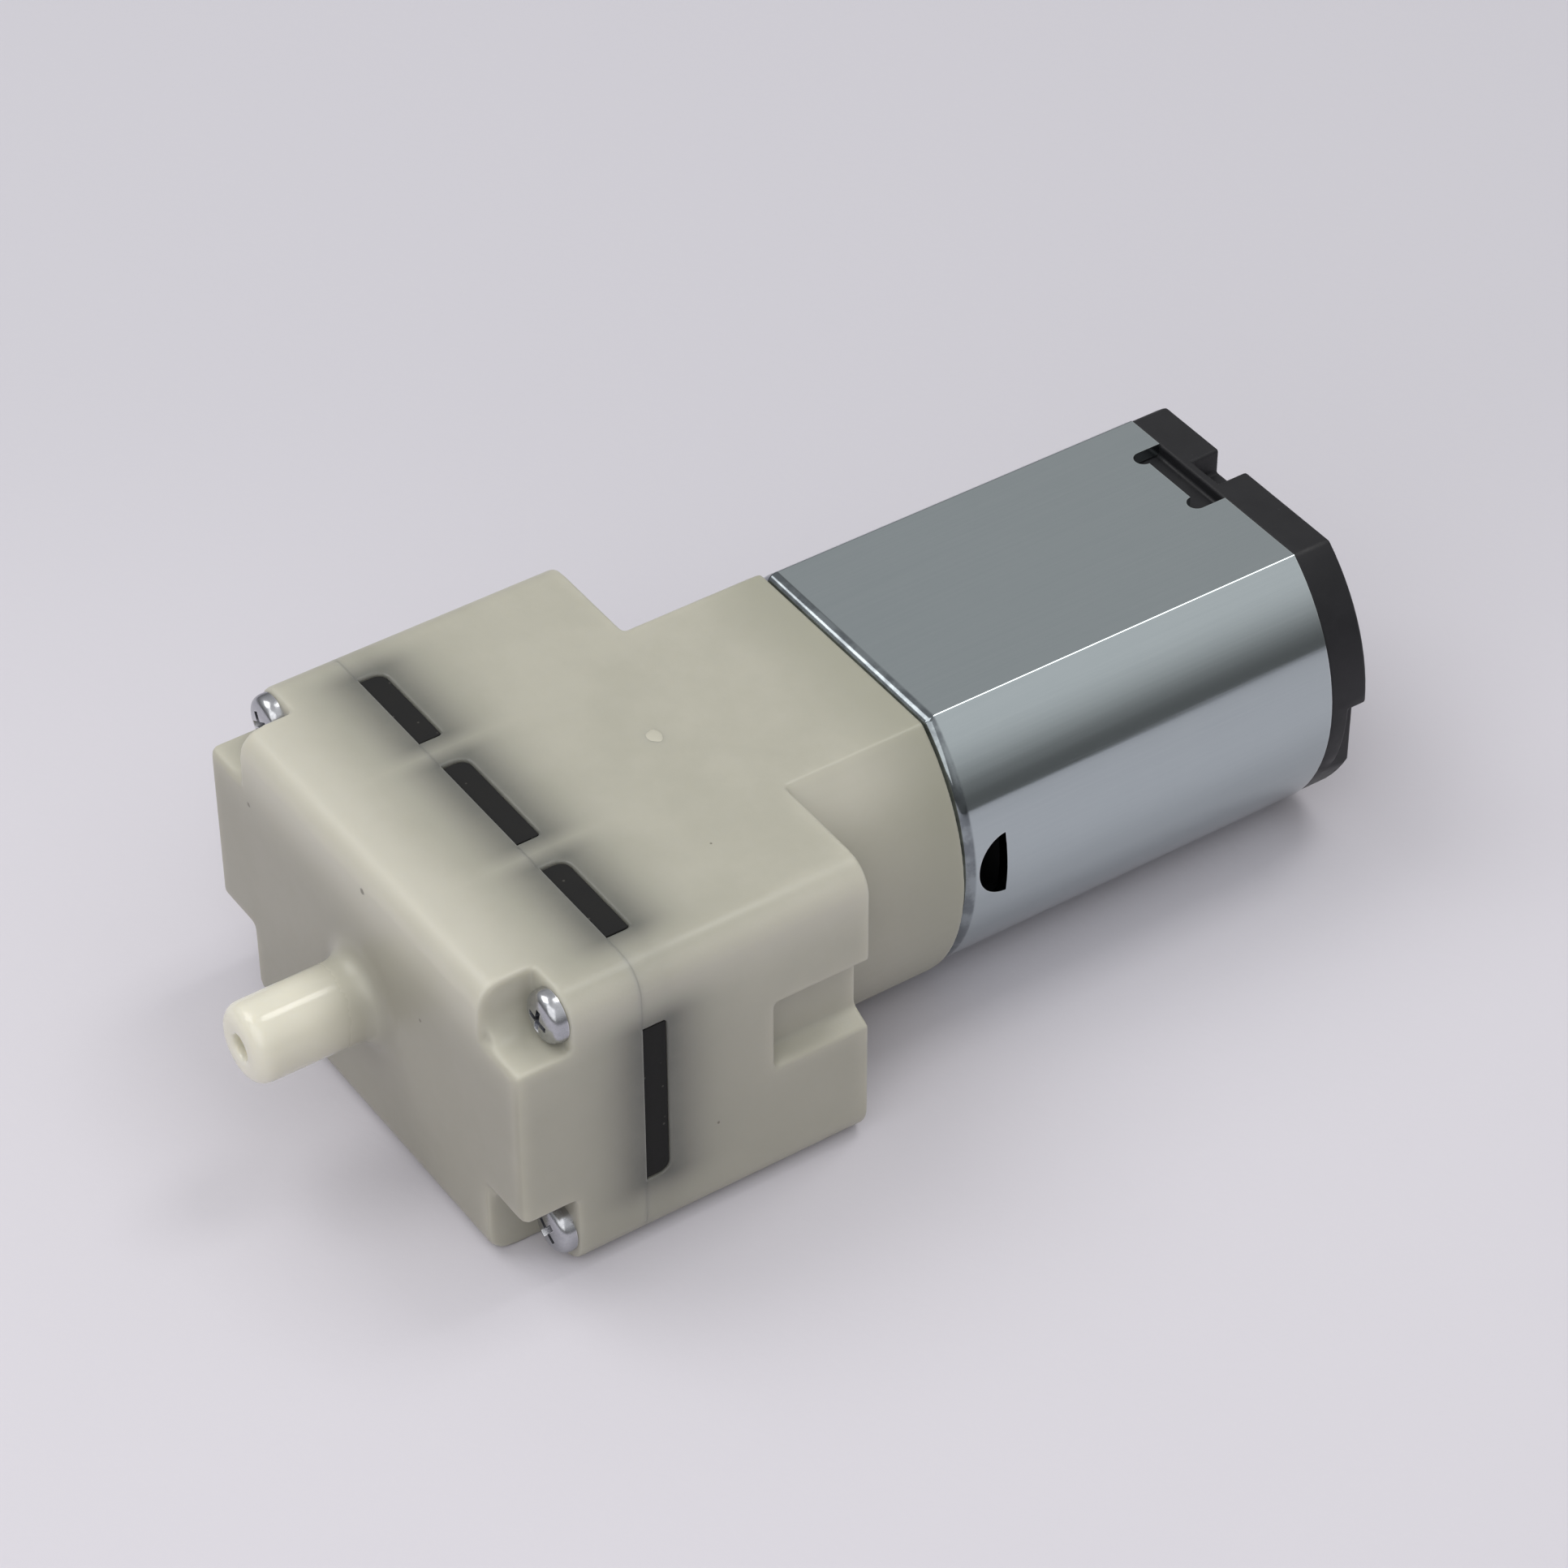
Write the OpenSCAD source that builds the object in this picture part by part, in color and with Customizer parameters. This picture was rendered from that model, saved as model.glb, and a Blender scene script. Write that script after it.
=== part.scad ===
// Mini air pump: a two-cup diaphragm pump head on a flat-sided direct current motor.
// X runs across the head, Y from the outlet nipple back to the motor, Z up from the base.
// The origin is at the middle of the whole pump's footprint, on the surface it stands on.

/* [Head] */
// Width of the pump head
head_w = 21; // [20.6:0.1:23]
// Height of the pump head
head_h = 12.8; // [12.6:0.1:13.6]
// Radius along the four long edges of the head
head_r = 1.2; // [0.6:0.1:1.6]
// Wall of the cover and of the housing
wall = 1.2; // [1.1:0.05:1.3]
// Height of the motor's axis above the base
axis_z = 6.75; // [6.6:0.05:6.8]
// Clearance all round a plate that drops into the head
fit = 0.05; // [0.02:0.01:0.1]

/* [Cover] */
// Thickness of the cover's full-size flange, from the screw seats to the parting plane
flange_l = 2.85; // [2.6:0.05:4]
// How far the cover's cross stands proud of the screw seats
cross_l = 2.25; // [1.6:0.05:3]
// How far the pocket round a screw reaches in from the side of the head
pocket_in = 2.4; // [2.3:0.05:2.6]
// Distance of the side arms' tops below the top of the head
arm_top_in = 2.25; // [2.25:0.05:2.6]
// Height of the side arms' undersides above the base
arm_low_z = 3.5; // [2.7:0.1:4]
// Radius on the upper and lower front edges of the cross's middle part
cross_r = 1; // [0.4:0.1:1.2]
// Radius on the front edges of the side arms
arm_r = 0.3; // [0.1:0.1:0.6]
// Radius in the corner between an arm and the middle part
pocket_r = 1; // [0.4:0.1:1.1]

/* [Outlet nipple] */
// Length of the nipple in front of the cross
nipple_l = 5.05; // [4:0.05:9]
// Outer diameter of the nipple
nipple_d = 3.15; // [2.8:0.05:4]
// Diameter of the nipple's bore
nipple_bore = 1; // [0.8:0.1:1.4]
// Height of the nipple's axis above the base
nipple_z = 6.5; // [6:0.05:7]
// Fillet round the nipple's root
nipple_root_r = 0.9; // [0.4:0.1:1.2]
// Radius round the nipple's tip
nipple_tip_r = 0.6; // [0.2:0.05:0.7]

/* [Screws of the cover] */
// Distance of a screw's axis from the side of the head
screw_in = 1.1; // [1.05:0.05:1.2]
// Distance of an upper screw's axis below the top of the head
screw_top_in = 1.2; // [1.1:0.05:1.2]
// Height of a lower screw's axis above the base
screw_low_z = 1.5; // [1.2:0.05:1.6]
// Diameter of a screw's shank
screw_d = 0.9; // [0.7:0.05:1]
// Length of a screw's shank
screw_l = 7; // [5:0.1:8]
// Diameter of a screw's head
screw_head_d = 2.05; // [1.7:0.05:2.1]
// Height of a screw's head
screw_head_h = 0.68; // [0.5:0.02:0.8]
// Width of the cross slot in a screw's head
screw_slot_w = 0.3; // [0.2:0.05:0.4]

/* [Housing] */
// Length of the housing's full-size block, from the parting plane to the shoulder
block_l = 9.45; // [9:0.05:12]
// Length of the neck between the shoulder and the motor
neck_l = 6; // [5.6:0.1:8]
// Radius of the neck's round sides
neck_r = 7.95; // [7.8:0.05:8.2]
// Thickness of the floor that the motor is screwed to
floor_t = 1.2; // [1:0.1:1.4]
// Height of the groove in each side of the block
groove_h = 3.2; // [2:0.1:4]
// Depth of the groove in each side of the block
groove_d = 0.85; // [0.4:0.05:0.9]
// Length of the groove in each side of the block
groove_l = 4; // [2:0.1:4.4]
// Height of the groove's middle above the base
groove_z = 6.95; // [6.4:0.05:7.2]
// Length of the middle window in the top and the bottom
window_mid_l = 5; // [4:0.1:5.4]
// Length of each outer window in the top and the bottom
window_end_l = 4.2; // [3:0.1:4.4]
// Distance of an outer window's middle from the middle of the head
window_end_x = 6.15; // [6:0.05:6.2]
// Length of the window in each side
window_side_l = 7.2; // [6:0.1:7.4]
// Height of the side windows' middle above the base
window_side_z = 6.5; // [6.4:0.05:6.6]
// Radius of the one rounded corner that each window has
window_r = 0.4; // [0.1:0.05:0.5]
// How far the rubber lies below the faces of the head in the windows
window_sink = 0.08; // [0.02:0.02:0.4]

/* [Diaphragm and valves] */
// Thickness of the rubber sheet
sheet_t = 1; // [0.8:0.05:1.2]
// Distance of each cup's axis from the middle of the head
cup_x = 4.6; // [4.5:0.05:4.65]
// Inner radius of a cup at its mouth
cup_r = 2.7; // [2.5:0.05:2.75]
// Thickness of a cup's thin wall
cup_t = 0.3; // [0.2:0.05:0.35]
// Depth of a cup behind the sheet
cup_l = 1.7; // [1.4:0.1:1.8]
// Radius of the rolled corner at a cup's closed end
cup_corner_r = 0.8; // [0.6:0.1:1]
// Radius of the boss that carries a cup's stem
cup_boss_r = 1.1; // [0.9:0.1:1.2]
// Radius of the stem that holds a cup in the yoke
stem_r = 0.55; // [0.4:0.05:0.6]
// Thickness of the plate that carries the valves
plate_t = 1.4; // [1.3:0.1:1.6]
// Thickness of the plate behind the rubber sheet
holder_t = 2; // [1.8:0.1:2.2]
// Clearance between a cup and its bore in the plate behind it
cup_gap = 0.15; // [0.1:0.05:0.2]
// Distance of each outlet port pair from the middle of the head
outlet_port_x = 2.5; // [2.4:0.05:2.6]
// Distance of each inlet valve from the middle of the head
inlet_x = 5.6; // [5.5:0.05:5.7]
// Radius of a small port
port_r = 0.35; // [0.25:0.05:0.4]
// Radius of the outlet valve's flap
outlet_flap_r = 3.1; // [3:0.05:3.2]
// Radius of an inlet valve's flap
inlet_flap_r = 1.25; // [1.1:0.05:1.3]
// Thickness of a valve's flap
flap_t = 0.3; // [0.2:0.05:0.35]
// Clearance round the outlet valve's flap
flap_gap = 0.3; // [0.2:0.05:0.3]
// Thickness of the round wall between the outlet and the inlet chamber
ring_t = 0.8; // [0.6:0.1:0.9]
// Radius of a valve's stem
valve_stem_r = 0.4; // [0.3:0.05:0.45]
// Radius of the air passages from the crank space to the inlet chamber
passage_r = 0.4; // [0.3:0.05:0.45]
// Distance of the air passages from the side of the head
passage_in = 2.05; // [1.9:0.05:2.1]

/* [Drive] */
// Tilt of the drive pin against the motor's axis
tilt = 9; // [6:0.5:10]
// Distance of the pivot from the parting plane
pivot_l = 2.5; // [2.45:0.05:2.6]
// Radius of the drive pin
pin_r = 0.5; // [0.4:0.05:0.5]
// Length of the drive pin behind the pivot
pin_l = 9.1; // [8.8:0.1:9.2]
// Distance of the yoke's arms behind the pivot
yoke_l = 1.7; // [1.6:0.05:1.9]
// Thickness of the yoke's arms
yoke_t = 1; // [0.8:0.1:1.1]
// Width of the yoke's arms
yoke_w = 2.4; // [2:0.1:2.6]
// Radius of the yoke's hub where it meets the arms
hub_r = 1.9; // [1.6:0.1:2]
// Length of the yoke's hub behind the arms
hub_l = 2.6; // [2:0.1:3]
// Thickness of the ribs on the yoke
rib_t = 0.7; // [0.5:0.1:0.9]
// Distance from the rim of the crank's disc to the inside of the housing's top
crank_clear = 0.75; // [0.6:0.05:1.2]
// Thickness of the crank's disc
crank_t = 2.9; // [2.8:0.1:3]
// Distance of the crank's disc behind the pivot
crank_l = 6.5; // [6.3:0.1:6.6]
// Depth of the flat on the crank's disc
crank_flat = 1.1; // [0.6:0.1:1.4]
// Radius of the crank's boss on the shaft
crank_boss_r = 2.3; // [1.8:0.1:2.5]
// Clearance behind the crank's boss
crank_gap = 0.3; // [0.2:0.05:0.4]
// Running clearance of a pin or shaft in its hole
running = 0.04; // [0.02:0.01:0.08]

/* [Motor] */
// Length of the motor's steel can
can_l = 16.85; // [16:0.05:20]
// Radius of the can's round sides
can_r = 7.8; // [7.7:0.05:7.9]
// Distance between the can's flat faces
can_h = 12; // [11.8:0.05:12]
// Thickness of the can's sheet steel
can_t = 0.5; // [0.4:0.05:0.6]
// Radius of the can's front edge
can_edge_r = 0.6; // [0.55:0.05:0.8]
// Radius of the nose that holds the front bearing
nose_r = 2.2; // [2:0.1:2.6]
// Length of the nose in front of the can
nose_l = 1; // [0.8:0.1:1]
// Radius of the round front of the opening in each side of the can
vent_r = 1.35; // [1:0.05:1.7]
// Length of that opening, from its round front back to its straight rear edge
vent_l = 1.25; // [0.9:0.05:1.3]
// Distance of the opening from the can's front face
vent_y = 0.7; // [0.65:0.05:1]
// Height of the opening's middle above the motor's axis
vent_up = 0.35; // [0:0.05:0.6]
// Width of the notch in the can's rear edge
notch_w = 4.05; // [3.4:0.05:4.4]
// Depth of the notch in the can's rear edge
notch_l = 1.05; // [0.8:0.05:1.2]
// Distance of the notch's middle from the middle of the can
notch_x = 1.2; // [0.8:0.1:1.4]
// Radius of the hook at each end of the notch
hook_r = 0.38; // [0.3:0.02:0.45]
// Distance between the two motor screws
motor_screw_pitch = 9.6; // [9.4:0.1:9.8]
// Diameter of a motor screw's shank
motor_screw_d = 1.6; // [1.4:0.1:1.7]
// Diameter of a motor screw's head
motor_screw_head_d = 2.4; // [2.1:0.1:2.5]
// Height of a motor screw's head
motor_screw_head_h = 0.8; // [0.6:0.05:0.9]
// Diameter of the motor's shaft
shaft_d = 1.5; // [1.3:0.1:1.6]
// Radius of a bearing
bearing_r = 1.5; // [1.3:0.1:1.6]
// Length of the front bearing
front_bearing_l = 2; // [1.8:0.1:2.2]
// Length of the rear bearing
rear_bearing_l = 1.8; // [1.6:0.1:2]
// Thickness of a thrust washer
washer_t = 0.3; // [0.2:0.05:0.4]

/* [Armature and magnets] */
// Air gap between the armature and the magnets
air_gap = 0.4; // [0.3:0.05:0.5]
// Radial thickness of a magnet
magnet_t = 2; // [1.8:0.1:2.2]
// Length of a magnet
magnet_l = 9; // [7:0.1:10]
// Half the angle that a magnet spans
magnet_half_deg = 44; // [38:1:45]
// Length of the armature's stack of plates
core_l = 6.6; // [5:0.1:7]
// Distance of the stack from the can's front face
core_y = 4.2; // [4:0.1:4.6]
// Width of a pole's neck
pole_w = 1.5; // [1.2:0.1:1.8]
// Thickness of a pole's shoe
shoe_t = 0.7; // [0.6:0.05:0.8]
// How far a winding stands out of each end of the stack
winding_l = 1.3; // [1:0.1:1.5]
// Width of a winding across its pole
winding_w = 5.6; // [4:0.1:6]
// Radius of the commutator over its bars
commutator_r = 1.7; // [1.5:0.05:1.9]
// Length of the commutator
commutator_l = 2.2; // [2:0.1:2.4]
// Thickness of the commutator's bars
bar_t = 0.3; // [0.2:0.05:0.4]
// Width of a brush
brush_w = 1.2; // [0.8:0.1:1.6]
// Thickness of a brush
brush_t = 0.15; // [0.1:0.01:0.2]

/* [End cap] */
// Thickness of the end cap behind the can
cap_t = 1.7; // [1.4:0.05:2]
// Length of the end cap's plug inside the can
plug_l = 2.4; // [2:0.1:2.6]
// Wall of the end cap's plug
plug_t = 1.1; // [0.9:0.1:1.3]
// Width of the slot in the end cap's rear edge
cap_slot_w = 1.6; // [1.2:0.1:2]
// Depth of the slot in the end cap's rear edge
cap_slot_h = 1.1; // [0.8:0.1:1.4]
// Distance of the slot's middle from the middle of the end cap
cap_slot_x = 0.9; // [0.6:0.1:1.2]
// Depth of the step in each side of the end cap
cap_step = 0.8; // [0.4:0.1:1]
// Width of the step in each side of the end cap
cap_step_w = 0.75; // [0.4:0.05:1]
// Width of a terminal
terminal_w = 1.6; // [1.2:0.1:1.8]
// Thickness of a terminal
terminal_t = 0.3; // [0.2:0.05:0.4]
// Length of a terminal behind the end cap
terminal_l = 1.8; // [1:0.1:2]
// Distance between the two terminals
terminal_pitch = 5.6; // [5.2:0.1:6]
// Distance of the terminals below the motor's axis
terminal_drop = 2.6; // [2.4:0.1:3]

/* [Hidden] */
$fn = 64;

// Small overlap that lets one cut run cleanly through the face of another
eps = 0.02;

// Chamfer on the ends of the drive pin and the shaft
pin_chamfer = 0.15;
// Clearance in front of a stem's or a pin's end in its blind hole
end_gap = 0.1;
// Space left round the crank's disc, inside the walls
crank_space_in = 0.3;
// Wall between the crank space and the groove in the block's side
groove_wall = wall + 0.4;
// Front of the shaft behind the front of the crank's boss
shaft_in = 0.2;
// Wall of the end cap behind the rear bearing
cap_floor_t = 0.4;
// Setback of the front bearing in its nose
bearing_in = 0.2;
// Gap between a winding's rear end and the commutator's bars
bar_gap = 0.3;
// Thickness of the strip between the magnets, outside their inner faces
spring_t = 0.15;
// Wall of the end cap round the rear bearing
bearing_wall = 0.8;
// Length of a terminal inside the end cap
terminal_in = 0.8;

// Stations along the pump, from the nipple's tip back to the terminals
overall_l = nipple_l + cross_l + flange_l + block_l + neck_l + can_l + cap_t + terminal_l;
tip_y = -overall_l / 2;
front_y = tip_y + nipple_l;
seat_y = front_y + cross_l;
part_y = seat_y + flange_l;
shoulder_y = part_y + block_l;
mount_y = shoulder_y + neck_l;
rim_y = mount_y + can_l;
rear_y = rim_y + cap_t;
pivot_y = part_y + pivot_l;
ledge_y = part_y + sheet_t + holder_t;
floor_y = mount_y - floor_t;
crank_rear_y = floor_y - crank_gap;

// The neck's top is flush with the head's top
neck_h = 2 * (head_h - axis_z);
pocket_w = head_w - 2 * wall;
pocket_h = head_h - 2 * wall;
cross_w = head_w - 2 * pocket_in;
arm_h = head_h - arm_top_in - arm_low_z;
arm_mid_z = arm_low_z + arm_h / 2;
screw_high_z = head_h - screw_top_in;
passage_x = head_w / 2 - passage_in;
crank_r = head_h - axis_z - wall - crank_clear;
boss_r = screw_in + screw_d / 2;
screw_x = head_w / 2 - screw_in;
chamber_y = front_y + wall;
plate_y = part_y - plate_t;
yoke_front_l = pivot_l + yoke_l;
crank_y = pivot_y + crank_l;
shaft_r = shaft_d / 2;
shaft_front_y = crank_y + crank_t + shaft_in;
crank_space_w = head_w - 2 * (groove_d + groove_wall);
air_slot_l = block_l - sheet_t - holder_t - groove_l - 2 * passage_r;

// Turned and flat parts of the motor
can_in_r = can_r - can_t;
can_in_h = can_h - 2 * can_t;
magnet_out_r = can_in_r - fit;
magnet_in_r = magnet_out_r - magnet_t;
armature_r = magnet_in_r - air_gap;
core_start_y = mount_y + core_y;
core_end_y = core_start_y + core_l;
winding_in_r = 1.9;
winding_out_r = armature_r - shoe_t - eps;
commutator_y = core_end_y + winding_l + bar_gap;
commutator_end_y = commutator_y + commutator_l;
bearing_y = rear_y - cap_floor_t - rear_bearing_l;
front_bearing_y = mount_y - nose_l + bearing_in;
plug_y = rim_y - plug_l;

// A flat profile in X and Z, run back along the pump from station y
module across(y, l)
    translate([0, y + l, 0]) rotate([90, 0, 0]) linear_extrude(l) children();

// A profile in radius and distance, turned about the motor's axis from station y
module turned(y, x = 0, z = axis_z)
    translate([x, y, z]) rotate([-90, 0, 0]) rotate_extrude() children();

// A round rod along the pump
module rod(y, l, r, x = 0, z = axis_z)
    translate([x, y, z]) rotate([-90, 0, 0]) cylinder(h = l, r = r);

// Places its children at the pivot with Z along the tilted drive pin
module on_pin()
    translate([0, pivot_y, axis_z]) rotate([tilt - 90, 0, 0]) children();

module round_rect(w, h, r) {
    square([w - 2 * r, h], center = true);
    square([w, h - 2 * r], center = true);
    for (x = [-1, 1], z = [-1, 1])
        translate([x * (w / 2 - r), z * (h / 2 - r)]) circle(r);
}

// A circle with its top and bottom cut flat
module flat_round(r, h)
    intersection() {
        circle(r);
        square([3 * r, h], center = true);
    }

// Everything within half_deg of straight up, out to radius r
module wedge(r, half_deg)
    polygon([[0, 0], [-r * tan(half_deg), r], [r * tan(half_deg), r]]);

module at_screws()
    for (x = [-screw_x, screw_x], z = [screw_low_z, screw_high_z])
        translate([x, z]) children();

module head_outline()
    translate([0, head_h / 2]) round_rect(head_w, head_h, head_r);

// Outline of the pocket that holds the plates and the rubber, clear of the screws
module works_outline(gap = 0)
    difference() {
        translate([0, head_h / 2])
            round_rect(pocket_w - 2 * gap, pocket_h - 2 * gap, head_r / 2);
        at_screws() circle(boss_r + gap);
    }

module passages()
    for (x = [-passage_x, passage_x])
        translate([x, axis_z]) circle(passage_r);

// A block of length l along X with its two near corners rounded
module front_rounded(l, h, r) {
    translate([r, -h / 2]) square([l - r, h]);
    translate([0, r - h / 2]) square([l, h - 2 * r]);
    for (z = [-1, 1])
        translate([r, z * (h / 2 - r)]) circle(r);
}

// A bar of width w, length l and height h about height z, its upper and lower front edges rounded
module front_bar(w, l, h, z, r)
    translate([-w / 2, front_y, z])
        rotate([90, 0, 90]) linear_extrude(w) front_rounded(l, h, r);

// The middle part of the cross runs the full height of the head, between the screws' pockets
module cross_middle()
    front_bar(cross_w, cross_l + flange_l / 2, head_h, head_h / 2, cross_r);

// The side arms, with all their front edges rounded
module cross_arms() {
    l = cross_l + flange_l / 2;
    intersection() {
        front_bar(head_w, l, arm_h, arm_mid_z, arm_r);
        translate([0, front_y, arm_low_z])
            rotate(90) linear_extrude(arm_h) front_rounded(l, head_w, arm_r);
    }
}

// Quarter-round webs in the corners between the arms and the middle part
module pocket_fillets()
    for (x = [0, 1], z = [0, 1])
        translate([0, arm_mid_z]) mirror([x, 0]) mirror([0, z])
            translate([cross_w / 2, arm_h / 2]) difference() {
                translate([-eps, -eps]) square(pocket_r + eps);
                translate([pocket_r, pocket_r]) circle(pocket_r);
            }

// Radius over distance from the tip, with a round tip and a flared root
module nipple_profile() {
    r = nipple_d / 2;
    translate([0, nipple_tip_r]) square([r, nipple_l - nipple_tip_r + eps]);
    square([r - nipple_tip_r, nipple_l]);
    translate([r - nipple_tip_r, nipple_tip_r]) circle(nipple_tip_r);
    difference() {
        translate([r - eps, nipple_l - nipple_root_r])
            square([nipple_root_r, nipple_root_r + eps]);
        translate([r + nipple_root_r, nipple_l - nipple_root_r]) circle(nipple_root_r);
    }
}

// The inlet chamber reaches into the arms, and a round wall parts off the outlet chamber
module cover_chambers() {
    ring_in_r = outlet_flap_r + flap_gap;
    difference() {
        union() {
            translate([0, head_h / 2]) round_rect(cross_w - 2 * wall, pocket_h, head_r);
            translate([0, arm_mid_z]) round_rect(pocket_w, arm_h - 2 * wall, head_r / 2);
        }
        translate([0, axis_z]) difference() {
            circle(ring_in_r + ring_t);
            circle(ring_in_r);
        }
    }
}

module head_cover()
    color("ivory") difference() {
        union() {
            across(seat_y, flange_l) head_outline();
            cross_middle();
            cross_arms();
            across(front_y + arm_r, cross_l) pocket_fillets();
            turned(tip_y, 0, nipple_z) nipple_profile();
        }
        rod(tip_y - eps, nipple_l + wall + 2 * eps, nipple_bore / 2, 0, nipple_z);
        across(plate_y, plate_t + eps) works_outline();
        across(chamber_y, plate_y - chamber_y + eps) cover_chambers();
        across(seat_y - eps, flange_l + 2 * eps) at_screws() circle(screw_d / 2 + fit);
    }

// A pan-head screw with a cross slot, its seat at the origin and its shank along Z
module pan_screw(d, l, head_d, head_h) {
    edge = head_h * 0.7;
    slot_l = head_d * 0.6;
    slot_depth = head_h * 0.65;
    difference() {
        union() {
            rotate_extrude() {
                translate([0, -head_h]) square([head_d / 2 - edge, head_h]);
                translate([0, edge - head_h]) square([head_d / 2, head_h - edge]);
                translate([head_d / 2 - edge, edge - head_h]) intersection() {
                    circle(edge);
                    translate([0, -edge]) square([edge, edge + eps]);
                }
            }
            cylinder(h = l - d / 2, d = d);
            translate([0, 0, l - d / 2]) cylinder(h = d / 2, r1 = d / 2, r2 = d / 8);
        }
        for (a = [0, 90])
            rotate(a) translate([-slot_l / 2, -screw_slot_w / 2, -head_h - eps])
                cube([slot_l, screw_slot_w, slot_depth + eps]);
    }
}

module cover_screws()
    color("silver")
        for (x = [-1, 1], z = [screw_low_z, screw_high_z])
            translate([x * screw_x, seat_y, z])
                rotate([-90, 30 * x + 3 * z, 0])
                    pan_screw(screw_d, screw_l, screw_head_d, screw_head_h);

module outlet_valve()
    color("dimgray") turned(plate_y) {
        translate([0, -flap_t]) square([outlet_flap_r, flap_t]);
        translate([0, -2 * flap_t]) square([2 * valve_stem_r, 2 * flap_t]);
        translate([0, -flap_t]) square([valve_stem_r, flap_t + plate_t - end_gap]);
    }

module inlet_valves()
    color("dimgray")
        for (x = [-inlet_x, inlet_x])
            turned(plate_y, x) {
                translate([0, plate_t - 2 * flap_t]) square([inlet_flap_r, flap_t]);
                translate([0, -flap_t]) square([valve_stem_r, plate_t - end_gap]);
                translate([0, -flap_t]) square([1.5 * valve_stem_r, flap_t]);
            }

module valve_plate()
    color("ivory") difference() {
        across(plate_y, plate_t) works_outline(fit);
        across(plate_y - eps, plate_t + 2 * eps) {
            passages();
            translate([0, axis_z]) {
                circle(valve_stem_r + fit);
                for (x = [-outlet_port_x, outlet_port_x], z = [-2, 2])
                    translate([x, z * port_r]) circle(port_r);
                for (x = [-inlet_x, inlet_x])
                    translate([x, 0]) {
                        circle(valve_stem_r + fit);
                        for (a = [45:90:315])
                            rotate(a) translate([inlet_flap_r * 0.68, 0]) circle(port_r / 2);
                    }
            }
        }
        for (x = [-inlet_x, inlet_x])
            rod(part_y - 2 * flap_t, 2 * flap_t + eps, inlet_flap_r + end_gap, x);
    }

// Outline of one window of length l about the origin, its far corner on the left rounded
module window_outline(l, gap) {
    corner = window_r + gap / 2;
    translate([-l / 2 + gap, 0]) difference() {
        square([l - 2 * gap, sheet_t]);
        translate([0, sheet_t]) difference() {
            square([2 * corner, 2 * corner], center = true);
            translate([corner, -corner]) circle(corner);
        }
    }
}

// The windows along the head's faces, all as bars that span the head, short of its faces by sink
module window_bars(gap, sink) {
    for (window = [[-window_end_x, window_end_l], [0, window_mid_l], [window_end_x, window_end_l]])
        translate([window.x, part_y, sink])
            linear_extrude(head_h - 2 * sink) window_outline(window.y, gap);
    translate([head_w / 2 - sink, part_y, window_side_z])
        rotate([0, -90, 0]) linear_extrude(head_w - 2 * sink) window_outline(window_side_l, gap);
}

// Thin cup wall with a rolled corner, and the boss that its stem stands on
module cup_profile() {
    r = cup_r + cup_t;
    l = sheet_t + cup_l;
    difference() {
        union() {
            translate([0, sheet_t / 2]) square([r, l - sheet_t / 2 - cup_corner_r]);
            square([r - cup_corner_r, l]);
            translate([r - cup_corner_r, l - cup_corner_r]) circle(cup_corner_r);
        }
        translate([-eps, -eps]) square([cup_r + eps, l - cup_corner_r + eps]);
        translate([-eps, -eps]) square([r - cup_corner_r + eps, l - cup_t + eps]);
        translate([r - cup_corner_r, l - cup_corner_r]) circle(cup_corner_r - cup_t);
    }
    translate([0, l - cup_t]) square([cup_boss_r, yoke_front_l - 2 * end_gap - l + cup_t]);
}

// A cup's stem with the barb that holds it behind the yoke's arm
module stem_profile() {
    stem_front = yoke_l - 0.8;
    barb_front = yoke_l + yoke_t + fit;
    barb_rear = barb_front + 0.65;
    barb_r = stem_r + 0.25;
    translate([0, stem_front]) square([stem_r, barb_rear - stem_front]);
    polygon([[0, barb_front], [barb_r, barb_front], [stem_r, barb_rear], [0, barb_rear]]);
}

module diaphragm()
    color("#2b2b2b") {
        difference() {
            union() {
                across(part_y, sheet_t) works_outline(fit);
                window_bars(fit, window_sink);
            }
            across(part_y - eps, sheet_t + 2 * eps) {
                at_screws() circle(screw_d / 2 + fit);
                for (x = [-cup_x, cup_x])
                    translate([x, axis_z]) circle(cup_r);
                passages();
            }
        }
        for (x = [-cup_x, cup_x])
            turned(part_y, x) cup_profile();
        on_pin()
            for (x = [-cup_x, cup_x])
                translate([x, 0, 0]) rotate_extrude() stem_profile();
    }

module diaphragm_holder()
    color("ivory") difference() {
        across(part_y + sheet_t, holder_t) difference() {
            works_outline(fit);
            for (x = [-cup_x, cup_x])
                translate([x, axis_z]) circle(cup_r + cup_t + cup_gap);
            passages();
        }
        rod(pivot_y - pin_r - running, pin_r + running + eps, pin_r + running);
        translate([0, pivot_y, axis_z]) rotate([-90, 0, 0])
            cylinder(h = ledge_y - pivot_y + eps, r1 = pin_r + running, r2 = 1.6 * pin_r);
    }

// Outline of the ribs behind the yoke's arms, from hub to stem
module yoke_rib() {
    rib_l = cup_x - stem_r - rib_t;
    polygon([[0, 0], [rib_l, 0], [hub_r * 0.75, hub_l * 0.8], [0, hub_l * 0.8]]);
}

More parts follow.
